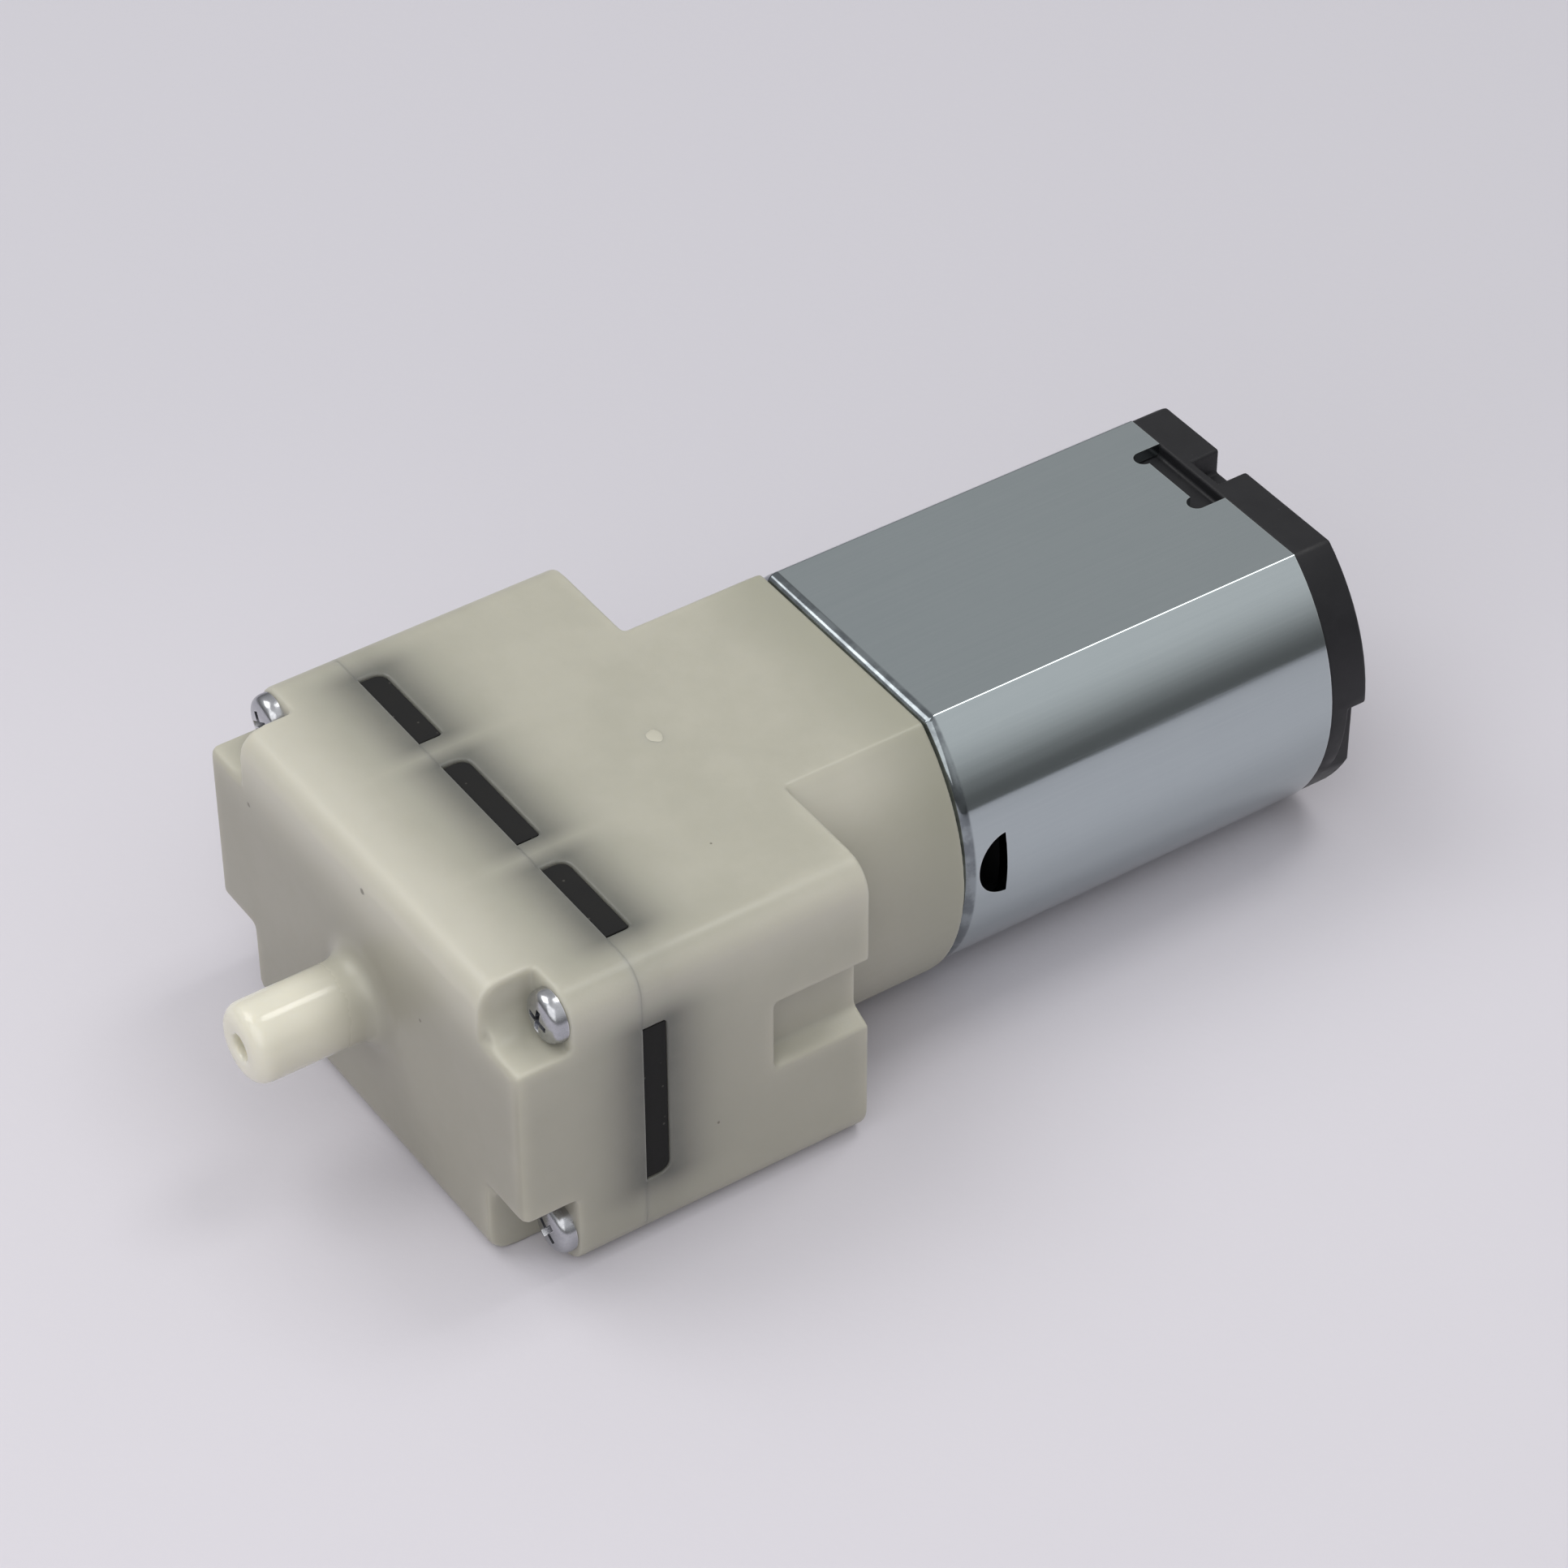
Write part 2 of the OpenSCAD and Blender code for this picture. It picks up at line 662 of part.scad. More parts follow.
module swing_yoke()
    color("ivory") on_pin() difference() {
        union() {
            translate([0, 0, yoke_l]) {
                linear_extrude(yoke_t) {
                    square([2 * cup_x, yoke_w], center = true);
                    for (x = [-cup_x, cup_x])
                        translate([x, 0]) circle(yoke_w / 2);
                }
                cylinder(h = yoke_t + hub_l, r1 = hub_r, r2 = hub_r * 0.7);
            }
            for (x = [0, 1])
                mirror([x, 0, 0]) translate([0, rib_t / 2, yoke_l + yoke_t - eps])
                    rotate([90, 0, 0]) linear_extrude(rib_t) yoke_rib();
        }
        translate([0, 0, yoke_l - eps]) cylinder(h = yoke_t + hub_l + 2 * eps, r = pin_r + eps);
        for (x = [-cup_x, cup_x])
            translate([x, 0, yoke_l - eps]) cylinder(h = yoke_t + 2 * eps, r = stem_r + fit);
    }

module drive_pin()
    color("silver") on_pin() {
        sphere(pin_r);
        cylinder(h = pin_l - pin_chamfer, r = pin_r);
        translate([0, 0, pin_l - pin_chamfer])
            cylinder(h = pin_chamfer, r1 = pin_r, r2 = pin_r - pin_chamfer);
    }

module eccentric_crank()
    color("white") difference() {
        union() {
            across(crank_y, crank_t) translate([0, axis_z]) difference() {
                circle(crank_r);
                translate([-crank_r, crank_r - crank_flat]) square([2 * crank_r, crank_r]);
            }
            rod(crank_y + crank_t - eps, crank_rear_y - crank_y - crank_t + eps, crank_boss_r);
        }
        on_pin() translate([0, 0, yoke_front_l + yoke_t])
            cylinder(h = pin_l - yoke_front_l - yoke_t + end_gap, r = pin_r + running);
        rod(shaft_front_y - end_gap, crank_rear_y - shaft_front_y + end_gap + eps, shaft_r + eps / 2);
    }

module pump_housing()
    color("ivory") difference() {
        union() {
            across(part_y, block_l) head_outline();
            across(shoulder_y - wall, neck_l + wall)
                translate([0, axis_z]) flat_round(neck_r, neck_h);
        }
        across(part_y - eps, sheet_t + 2 * eps) works_outline();
        window_bars(0, -eps);
        across(part_y + sheet_t, holder_t) works_outline();
        across(ledge_y - eps, shoulder_y - wall - ledge_y + eps)
            translate([0, head_h / 2])
                round_rect(crank_space_w, pocket_h - 2 * crank_space_in, head_r + crank_space_in);
        across(ledge_y - eps, air_slot_l)
            translate([0, axis_z]) square([2 * (passage_x + passage_r), 2 * passage_r], center = true);
        across(shoulder_y - wall - eps, floor_y - shoulder_y + wall + eps)
            translate([0, axis_z]) flat_round(neck_r - wall, neck_h - 2 * wall);
        rod(floor_y - eps, floor_t + 2 * eps, nose_r + fit);
        for (x = [-1, 1])
            rod(floor_y - eps, floor_t + 2 * eps, motor_screw_d / 2 + fit, x * motor_screw_pitch / 2);
        across(part_y - eps, screw_l - flange_l + screw_d / 2) at_screws() circle(screw_d / 2 + eps);
        across(shoulder_y - groove_l, groove_l + eps)
            for (x = [0, 1])
                mirror([x, 0]) translate([head_w / 2, groove_z]) side_groove();
    }

// Groove profile with sloping walls, its mouth on the Z axis
module side_groove() {
    mouth = groove_h / 2;
    bottom = mouth - groove_d / 2;
    polygon([[eps, mouth], [-groove_d, bottom], [-groove_d, -bottom], [eps, -mouth]]);
}

module motor_screws()
    color("silver")
        for (x = [-1, 1])
            translate([x * motor_screw_pitch / 2, floor_y, axis_z]) rotate([-90, 20 * x, 0])
                pan_screw(motor_screw_d, floor_t + 3 * can_t, motor_screw_head_d, motor_screw_head_h);

// The can's flat-sided round shape with a rounded front edge
module can_body(r, h, l, edge)
    intersection() {
        turned(mount_y) front_rounded_half(l, r, edge);
        translate([-r, mount_y, axis_z])
            rotate([90, 0, 90]) linear_extrude(2 * r) front_rounded(l, h, edge);
    }

// Half of a front-rounded block, for turning: radius r, length l
module front_rounded_half(l, r, edge) {
    square([r - edge, l]);
    translate([0, edge]) square([r, l - edge]);
    translate([r - edge, edge]) circle(edge);
}

module motor_can()
    color("silver") difference() {
        union() {
            can_body(can_r, can_h, can_l, can_edge_r);
            rod(mount_y - nose_l, nose_l + can_t, nose_r);
        }
        translate([0, can_t, 0])
            can_body(can_in_r, can_in_h, can_l, can_edge_r - can_t);
        rod(mount_y - nose_l - eps, nose_l + can_t + 2 * eps, bearing_r + eps / 2);
        for (x = [-1, 1])
            rod(mount_y - eps, can_t + 2 * eps, motor_screw_d / 2 + eps, x * motor_screw_pitch / 2);
        translate([-2 * can_r, mount_y + vent_y, axis_z + vent_up])
            rotate([90, 0, 90]) linear_extrude(4 * can_r) vent_outline();
        for (a = [0, 180])
            translate([0, rim_y, axis_z]) rotate([0, a, 0]) rim_notch();
    }

// Opening in a side of the can, round to the front and straight across at the rear
module vent_outline()
    intersection() {
        translate([vent_r, 0]) circle(vent_r);
        translate([0, -vent_r]) square([vent_l, 2 * vent_r]);
    }

// Notch in the can's rear edge with a round hook at each end
module rim_notch()
    translate([-notch_x, 0, can_in_h / 2 - can_t]) linear_extrude(3 * can_t) {
        translate([-notch_w / 2, -notch_l]) square([notch_w, 2 * notch_l]);
        for (x = [-1, 1])
            translate([x * (notch_w / 2 - hook_r), -notch_l]) circle(hook_r);
    }

module bearing(y, l)
    turned(y) difference() {
        square([bearing_r, l]);
        translate([-eps, -eps]) square([shaft_r + running + eps, l + 2 * eps]);
    }

module front_bearing()
    color("peru") bearing(front_bearing_y, front_bearing_l);

module rear_bearing()
    color("peru") bearing(bearing_y, rear_bearing_l);

module magnets()
    color("dimgray") across(core_start_y + (core_l - magnet_l) / 2, magnet_l)
        translate([0, axis_z])
            for (a = [90, 270])
                rotate(a) intersection() {
                    difference() {
                        circle(magnet_out_r);
                        circle(magnet_in_r);
                    }
                    wedge(2 * magnet_out_r, magnet_half_deg);
                }

// Bowed strip that pushes the lower ends of the magnets apart
module magnet_spring()
    color("silver") across(core_start_y + core_l / 4, core_l / 2)
        translate([0, axis_z]) rotate(180) intersection() {
            difference() {
                circle(magnet_in_r + spring_t);
                circle(magnet_in_r - fit);
            }
            wedge(2 * magnet_out_r, 89 - magnet_half_deg);
        }

module motor_shaft()
    color("silver") turned(shaft_front_y) {
        l = rear_y - cap_floor_t - 2 * end_gap - shaft_front_y;
        translate([0, pin_chamfer]) square([shaft_r, l - 2 * pin_chamfer]);
        square([shaft_r - pin_chamfer, l]);
    }

module thrust_washers()
    color("white")
        for (y = [front_bearing_y + front_bearing_l + running, bearing_y - washer_t - running])
            turned(y) difference() {
                square([bearing_r, washer_t]);
                translate([-eps, -eps]) square([shaft_r + 2 * eps, washer_t + 2 * eps]);
            }

module armature_core()
    color("slategray") across(core_start_y, core_l) translate([0, axis_z]) difference() {
        union() {
            circle(winding_in_r - eps);
            for (a = [0, 120, 240])
                rotate(a) {
                    translate([-pole_w / 2, 0]) square([pole_w, armature_r - shoe_t / 2]);
                    intersection() {
                        difference() {
                            circle(armature_r);
                            circle(armature_r - shoe_t);
                        }
                        wedge(2 * armature_r, 50);
                    }
                }
        }
        circle(shaft_r + eps / 2);
    }

// One coil round a pole: its two sides lie along the pole, its ends cross in front and behind
module winding() {
    l = core_l + 2 * winding_l;
    difference() {
        across(core_start_y - winding_l, l) intersection() {
            difference() {
                circle(winding_out_r);
                circle(winding_in_r);
            }
            wedge(2 * winding_out_r, 54);
            square([winding_w, 4 * winding_out_r], center = true);
        }
        across(core_start_y - eps, core_l + 2 * eps)
            square([pole_w + 2 * eps, 4 * winding_out_r], center = true);
    }
}

module windings()
    color("chocolate") translate([0, 0, axis_z])
        for (a = [0, 120, 240])
            rotate([0, a, 0]) winding();

module commutator()
    color("saddlebrown") turned(core_end_y + eps) difference() {
        union() {
            square([winding_in_r - 2 * eps, commutator_y - core_end_y - 2 * eps]);
            square([commutator_r - bar_t, commutator_end_y - core_end_y]);
        }
        translate([-eps, -eps]) square([shaft_r + 2 * eps, commutator_end_y - core_end_y + 2 * eps]);
    }

module commutator_bars()
    color("peru") across(commutator_y, commutator_l) translate([0, axis_z])
        for (a = [60, 180, 300])
            rotate(a) intersection() {
                difference() {
                    circle(commutator_r);
                    circle(commutator_r - bar_t + eps);
                }
                wedge(2 * commutator_r, 55);
            }

module end_cap()
    color("#333336") difference() {
        union() {
            across(rim_y, cap_t) translate([0, axis_z]) flat_round(can_r - fit, can_h - 2 * fit);
            across(plug_y, plug_l + eps) translate([0, axis_z]) difference() {
                flat_round(can_in_r - fit, can_in_h - 2 * fit);
                flat_round(can_in_r - plug_t, can_in_h - 2 * plug_t);
            }
            rod(bearing_y, rim_y - bearing_y + eps, bearing_r + bearing_wall);
        }
        rod(bearing_y - eps, rear_bearing_l + eps, bearing_r + eps / 2);
        for (a = [0, 180])
            translate([0, 0, axis_z]) rotate([0, a, 0]) {
                translate([-cap_slot_x - cap_slot_w / 2, rim_y + cap_floor_t, can_h / 2 - cap_slot_h])
                    cube([cap_slot_w, cap_t, 2 * cap_slot_h]);
                translate([can_r - cap_step_w, rear_y - cap_step, -can_r])
                    cube([2 * cap_step_w, 2 * cap_step, can_r]);
            }
        at_terminals() cube([terminal_w + 2 * fit, 4 * cap_t, terminal_t + 2 * fit], center = true);
    }

// The middle of each terminal where it crosses the end cap's rear wall
module at_terminals()
    for (x = [-1, 1])
        translate([x * terminal_pitch / 2, rim_y + cap_t / 2, axis_z - terminal_drop]) children();

module terminals()
    color("gold") at_terminals() difference() {
        translate([-terminal_w / 2, -cap_t / 2 - terminal_in, -terminal_t / 2])
            cube([terminal_w, cap_t + terminal_in + terminal_l, terminal_t]);
        translate([0, cap_t / 2 + terminal_l * 0.6, -terminal_t])
            cylinder(h = 2 * terminal_t, r = terminal_w / 5);
    }

// A leaf spring seen from above: foot in the end cap, contact at the commutator, turned-out tip
module brush_outline() {
    spread = 0.6;
    foot = [2.5 * spread, rim_y - eps];
    knee = [spread, plug_y + spread];
    contact = [0, commutator_y + commutator_l / 2];
    tip = [spread, commutator_y + bar_t];
    thick = [brush_t, 0];
    polygon([tip, contact, knee, foot, foot + thick, knee + thick, contact + thick, tip + thick]);
}

// Bent leaf springs that run from the end cap to the commutator
module brushes()
    color("goldenrod")
        for (x = [0, 1])
            mirror([x, 0, 0]) translate([commutator_r + running, 0, axis_z - brush_w / 2])
                linear_extrude(brush_w) brush_outline();

head_cover();
cover_screws();
outlet_valve();
valve_plate();
inlet_valves();
diaphragm();
diaphragm_holder();
pump_housing();
swing_yoke();
drive_pin();
eccentric_crank();
motor_screws();
motor_can();
front_bearing();
magnets();
magnet_spring();
motor_shaft();
thrust_washers();
armature_core();
windings();
commutator();
commutator_bars();
end_cap();
rear_bearing();
brushes();
terminals();
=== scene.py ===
import math

import bmesh
import bpy
from mathutils import Matrix, Vector


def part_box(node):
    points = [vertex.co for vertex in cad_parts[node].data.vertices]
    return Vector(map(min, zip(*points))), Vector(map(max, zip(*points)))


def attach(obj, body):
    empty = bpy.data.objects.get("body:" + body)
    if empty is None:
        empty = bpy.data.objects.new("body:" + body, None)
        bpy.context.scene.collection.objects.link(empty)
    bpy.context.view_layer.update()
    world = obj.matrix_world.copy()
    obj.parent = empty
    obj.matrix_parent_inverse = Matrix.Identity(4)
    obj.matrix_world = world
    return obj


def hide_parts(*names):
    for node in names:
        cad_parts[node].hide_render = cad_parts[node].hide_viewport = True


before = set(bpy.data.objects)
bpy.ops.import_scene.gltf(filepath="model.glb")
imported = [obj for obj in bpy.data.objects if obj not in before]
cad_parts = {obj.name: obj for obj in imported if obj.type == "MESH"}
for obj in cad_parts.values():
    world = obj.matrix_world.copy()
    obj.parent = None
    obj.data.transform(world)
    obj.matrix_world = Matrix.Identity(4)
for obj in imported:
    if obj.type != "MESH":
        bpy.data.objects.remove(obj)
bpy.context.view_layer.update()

mm = 0.001  # sizes are written as millimetres times this


# Small helpers for node trees, used by materials, shader groups and geometry trees alike
def srgb(red, green, blue):
    shares = [c / 255 for c in (red, green, blue)]
    return (*[s / 12.92 if s <= 0.04045 else ((s + 0.055) / 1.055) ** 2.4 for s in shares], 1)


def put(tree, kind, feeds=None, **settings):
    node = tree.nodes.new(kind)
    node.location = (200 * len(tree.nodes), -60 * (len(tree.nodes) % 4))
    for setting, value in settings.items():
        setattr(node, setting, value)
    for socket, value in (feeds or {}).items():
        if isinstance(value, bpy.types.NodeSocket):
            tree.links.new(value, node.inputs[socket])
        else:
            node.inputs[socket].default_value = value
    return node


def calc(tree, operation, first, second=0.0):
    return put(tree, "ShaderNodeMath", {0: first, 1: second}, operation=operation).outputs[0]


def remap(tree, value, fromLow, fromHigh, toLow=0.0, toHigh=1.0):
    feeds = {"Value": value, "From Min": fromLow, "From Max": fromHigh, "To Min": toLow, "To Max": toHigh}
    return put(tree, "ShaderNodeMapRange", feeds, interpolation_type="SMOOTHSTEP").outputs[0]


def mixColour(tree, share, first, second):
    node = put(tree, "ShaderNodeMix", data_type="RGBA")
    for socket, value in ((0, share), (6, first), (7, second)):
        if isinstance(value, bpy.types.NodeSocket):
            tree.links.new(value, node.inputs[socket])
        else:
            node.inputs[socket].default_value = value
    return node.outputs[2]


def startGroup(name, inputs, outputs, kind="ShaderNodeTree"):
    group = bpy.data.node_groups.new(name, kind)
    for label, socketKind, value in inputs:
        socket = group.interface.new_socket(label, in_out="INPUT", socket_type="NodeSocket" + socketKind)
        if value is not None:
            socket.default_value = value
    for label, socketKind in outputs:
        group.interface.new_socket(label, in_out="OUTPUT", socket_type="NodeSocket" + socketKind)
    return group, put(group, "NodeGroupInput").outputs, put(group, "NodeGroupOutput").inputs


def useGroup(tree, group, feeds):
    return put(tree, "ShaderNodeGroup", feeds, node_tree=group)


# Shader groups that more than one finish uses
def makeGrainGroup():
    group, given, out = startGroup(
        "surfaceGrain",
        [("Vector", "Vector", None), ("Grain Size", "Float", 0.1), ("Patch Size", "Float", 3.0)],
        [("Grain", "Float"), ("Patches", "Float")],
    )
    grain = put(group, "ShaderNodeTexNoise", {
        "Vector": given["Vector"], "Scale": calc(group, "DIVIDE", 1.0, given["Grain Size"]), "Detail": 3.0})
    patches = put(group, "ShaderNodeTexNoise", {
        "Vector": given["Vector"], "Scale": calc(group, "DIVIDE", 1.0, given["Patch Size"]), "Detail": 5.0,
        "Roughness": 0.62})
    group.links.new(grain.outputs[0], out["Grain"])
    group.links.new(remap(group, patches.outputs[0], 0.3, 0.7), out["Patches"])
    return group


def makeSpeckGroup():
    group, given, out = startGroup(
        "scatteredSpecks",
        [("Vector", "Vector", None), ("Spacing", "Float", 1.0), ("Speck Size", "Float", 0.1),
         ("Share Left Out", "Float", 0.5)],
        [("Mask", "Float")],
    )
    cells = put(group, "ShaderNodeTexVoronoi", {
        "Vector": given["Vector"], "Scale": calc(group, "DIVIDE", 1.0, given["Spacing"]), "Randomness": 1.0})
    size = calc(group, "DIVIDE", given["Speck Size"], given["Spacing"])
    rim, heart = calc(group, "MULTIPLY", size, 1.5), calc(group, "MULTIPLY", size, 0.5)
    spot = remap(group, cells.outputs["Distance"], rim, heart)
    chance = put(group, "ShaderNodeSeparateColor", {0: cells.outputs["Color"]}).outputs[0]
    kept = calc(group, "GREATER_THAN", chance, given["Share Left Out"])
    group.links.new(calc(group, "MULTIPLY", spot, kept), out["Mask"])
    return group


def makeDrawMarkGroup():
    group, given, out = startGroup(
        "lengthwiseMarks",
        [("Vector", "Vector", None), ("Mark Width", "Float", 0.1), ("Mark Length", "Float", 6.0)],
        [("Marks", "Float")],
    )
    across = calc(group, "DIVIDE", 1.0, given["Mark Width"])
    along = calc(group, "DIVIDE", 1.0, given["Mark Length"])
    stretch = put(group, "ShaderNodeCombineXYZ", {0: across, 1: along, 2: across}).outputs[0]
    place = put(group, "ShaderNodeVectorMath", {0: given["Vector"], 1: stretch}, operation="MULTIPLY")
    marks = put(group, "ShaderNodeTexNoise", {
        "Vector": place.outputs[0], "Scale": 1.0, "Detail": 4.0, "Roughness": 0.7})
    group.links.new(marks.outputs[0], out["Marks"])
    return group


# An edge mask, used both for wear and for painted light along edges
def makeEdgeGroup():
    group, given, out = startGroup(
        "edgeMask",
        [("Vector", "Vector", None), ("Edge Width", "Float", 0.1), ("Breakup Size", "Float", 0.6)],
        [("Mask", "Float")],
    )
    radius = calc(group, "MULTIPLY", given["Edge Width"], mm)
    rounded = put(group, "ShaderNodeBevel", {"Radius": radius}, samples=4)
    plain = put(group, "ShaderNodeNewGeometry").outputs["Normal"]
    facing = put(group, "ShaderNodeVectorMath", {0: rounded.outputs[0], 1: plain}, operation="DOT_PRODUCT")
    edge = remap(group, facing.outputs["Value"], 0.995, 0.86)
    breakup = put(group, "ShaderNodeTexNoise", {
        "Vector": given["Vector"], "Scale": calc(group, "DIVIDE", 1.0, given["Breakup Size"]), "Detail": 3.0})
    wornAndSheen = remap(group, breakup.outputs[0], 0.25, 0.6, 0.35, 1.0)
    group.links.new(calc(group, "MULTIPLY", edge, wornAndSheen), out["Mask"])
    return group


def makeBoxDistanceGroup():
    group, given, out = startGroup(
        "distanceToBox",
        [("Vector", "Vector", None), ("Box Middle", "Vector", None), ("Half Size", "Vector", None),
         ("Stretch", "Vector", None)],
        [("Distance", "Float")],
    )
    away = given["Vector"]
    for operation, second in (("SUBTRACT", given["Box Middle"]), ("ABSOLUTE", (0, 0, 0)),
                              ("SUBTRACT", given["Half Size"]), ("MAXIMUM", (0, 0, 0)),
                              ("MULTIPLY", given["Stretch"])):
        away = put(group, "ShaderNodeVectorMath", {0: away, 1: second}, operation=operation).outputs[0]
    reach = put(group, "ShaderNodeVectorMath", {0: away}, operation="LENGTH").outputs["Value"]
    group.links.new(reach, out["Distance"])
    return group


def makeSpotGroup():
    group, given, out = startGroup(
        "singleSpot",
        [("Vector", "Vector", None), ("Spot Middle", "Vector", None), ("Spot Radius", "Float", 0.1)],
        [("Mask", "Float")],
    )
    waver = put(group, "ShaderNodeTexNoise", {"Vector": given["Vector"], "Scale": 9.0, "Detail": 2.0})
    away = put(group, "ShaderNodeVectorMath", {
        0: given["Vector"], 1: given["Spot Middle"]}, operation="DISTANCE")
    reach = calc(group, "MULTIPLY", given["Spot Radius"], calc(group, "ADD", waver.outputs[0], 0.5))
    rim, heart = calc(group, "MULTIPLY", reach, 1.3), calc(group, "MULTIPLY", reach, 0.6)
    spot = remap(group, away.outputs["Value"], rim, heart)
    group.links.new(spot, out["Mask"])
    return group


grainGroup = makeGrainGroup()
speckGroup = makeSpeckGroup()
drawMarkGroup = makeDrawMarkGroup()
edgeGroup = makeEdgeGroup()
boxDistanceGroup = makeBoxDistanceGroup()
spotGroup = makeSpotGroup()
print("shader groups made")


def startFinish(name, constants):
    material = bpy.data.materials.new(name)
    material.use_nodes = True
    tree = material.node_tree
    shader = tree.nodes["Principled BSDF"]
    for socket, value in constants.items():
        shader.inputs[socket].default_value = value
    place = put(tree, "ShaderNodeTexCoord").outputs["Object"]
    place = put(tree, "ShaderNodeVectorMath", {0: place, "Scale": 1 / mm}, operation="SCALE").outputs[0]
    return material, tree, shader, place


def feedBump(tree, shader, height, depth):
    bump = put(tree, "ShaderNodeBump", {"Height": height, "Distance": depth * mm, "Strength": 1.0})
    tree.links.new(bump.outputs[0], shader.inputs["Normal"])


creamSet = {
    "base": srgb(175, 173, 159),  # the open plastic
    "pale": srgb(204, 201, 188),  # the plastic's paler tone in patches, and painted light where thin walls and edges let it through
    # painted light glowing through the nipple's thin wall
    "nipple": srgb(222, 219, 204),
    "neck": srgb(161, 160, 145),  # painted shade over the neck, where the motor's steel lies behind the wall
    "lowWallShade": srgb(157, 154, 142),  # painted shade on the lower part of the upright walls
    "shaded": srgb(52, 56, 57),  # painted shade of the rubber as it shows through the wall
    "broadShade": (0.16, 1.5, 1.0),  # share at the rubber sheet, mm over which it fades, how suddenly
    "nearShade": (0.62, 1.4, 1.6),  # the same round each window
    "shadeUneven": (0.9, 1.0),  # share of both that stays, from patch to patch
    "roughness": 0.34,
    "nippleRoughness": 0.09,
    "roughnessUneven": (1.0, 1.25),
    "grain": 0.09,  # mm
    "grainDepth": 0.0025,  # mm
    "patches": 3.4,  # mm across
    "patchShare": 0.2,  # of the pale colour in the patches
    "scatter": 1.0,  # mm that light travels below the surface
    "edgeWidth": 1.3,  # mm of painted light along an edge
    "edgeBreakup": 3.0,  # mm
    "edgeGlow": 0.28,  # share of the pale colour painted as light on every edge
    "frontEdge": (3.0, 0.4, 0.65),  # painted light: mm below the top over which the upper front edge turns pale, and its share
    "frontEdgeDepth": (3.2, 1.0),  # mm behind the front face over which it does
    "sideTop": (3.0, 0.6, 0.6),  # painted light: mm below the top over which a side turns pale, and its share
    "frontLowShade": (0.6, 4.4, 1.0),  # painted shade: mm below the top over which the front turns to its low colour, and its share
    "sideLowShade": (1.5, 5.5, 0.45),  # the same for the sides
    "facingFront": (-0.3, -0.9),  # how far a face must turn to the front to count as one,
    "facingSide": (0.4, 0.9),  # or to a side
    "neckFade": (2.0, 6.4),  # mm behind the shoulder
    "nippleFade": (0.1, 3.0),  # from just behind the nipple's root to this far before it
    "speck": srgb(84, 80, 68),
    "speckShare": 0.7,
    "specks": [  # dark inclusions, each with its place and radius in mm
        ((-7.65, -17.92, 9.82), 0.1), ((0.54, -17.93, 11.71), 0.13), ((1.99, -17.9, 12.41), 0.08),
        ((4.1, -17.93, 8.35), 0.08), ((6.3, -7.2, 12.8), 0.05), ((10.5, -9.8, 4.1), 0.06),
    ],
}


# The windows in the head's faces, as boxes of middle and half size in mm, from the rubber's own box
windowSet = {"outerMiddle": 6.15, "outerHalf": 2.1, "middleHalf": 2.5, "sideMiddle": 6.5, "sideHalf": 3.6,
             "sheetHalf": 0.5, "through": 20.0, "far": 100.0,
             "pastEnds": (1.7, 1.0, 1.7)}  # past a window's ends its shade fades this much sooner


def windowBoxes(sheetY):
    across = [(-windowSet["outerMiddle"], windowSet["outerHalf"]), (0, windowSet["middleHalf"]),
              (windowSet["outerMiddle"], windowSet["outerHalf"])]
    boxes = [((x, sheetY, 0), (half, windowSet["sheetHalf"], windowSet["through"])) for x, half in across]
    boxes.append(((0, sheetY, windowSet["sideMiddle"]),
                  (windowSet["through"], windowSet["sheetHalf"], windowSet["sideHalf"])))
    return boxes


def fadingShare(tree, distance, share, reach, suddenness):
    away = calc(tree, "POWER", calc(tree, "DIVIDE", distance, reach), suddenness)
    return calc(tree, "MULTIPLY", calc(tree, "EXPONENT", calc(tree, "MULTIPLY", away, -1.0)), share)


# Painted shade where the rubber shows dark through the wall over the sheet, and more so round each window
def sheetShade(tree, place, alongPump, sheetY, patches):
    fromSheet = calc(tree, "ABSOLUTE", calc(tree, "SUBTRACT", alongPump, sheetY))
    fromSheet = calc(tree, "MAXIMUM", calc(tree, "SUBTRACT", fromSheet, windowSet["sheetHalf"]), 0.0)
    fromWindow = windowSet["far"]
    for middle, half in windowBoxes(sheetY):
        box = useGroup(tree, boxDistanceGroup, {
            "Vector": place, "Box Middle": middle, "Half Size": half, "Stretch": windowSet["pastEnds"]})
        fromWindow = calc(tree, "MINIMUM", box.outputs[0], fromWindow)
    shade = calc(tree, "ADD", fadingShare(tree, fromSheet, *creamSet["broadShade"]),
                 fadingShare(tree, fromWindow, *creamSet["nearShade"]))
    return calc(tree, "MULTIPLY", shade, remap(tree, patches, 0.0, 1.0, *creamSet["shadeUneven"]))


def shareBelowTop(tree, height, topZ, none, full, share):
    return remap(tree, height, topZ - none, topZ - full, 0.0, share)
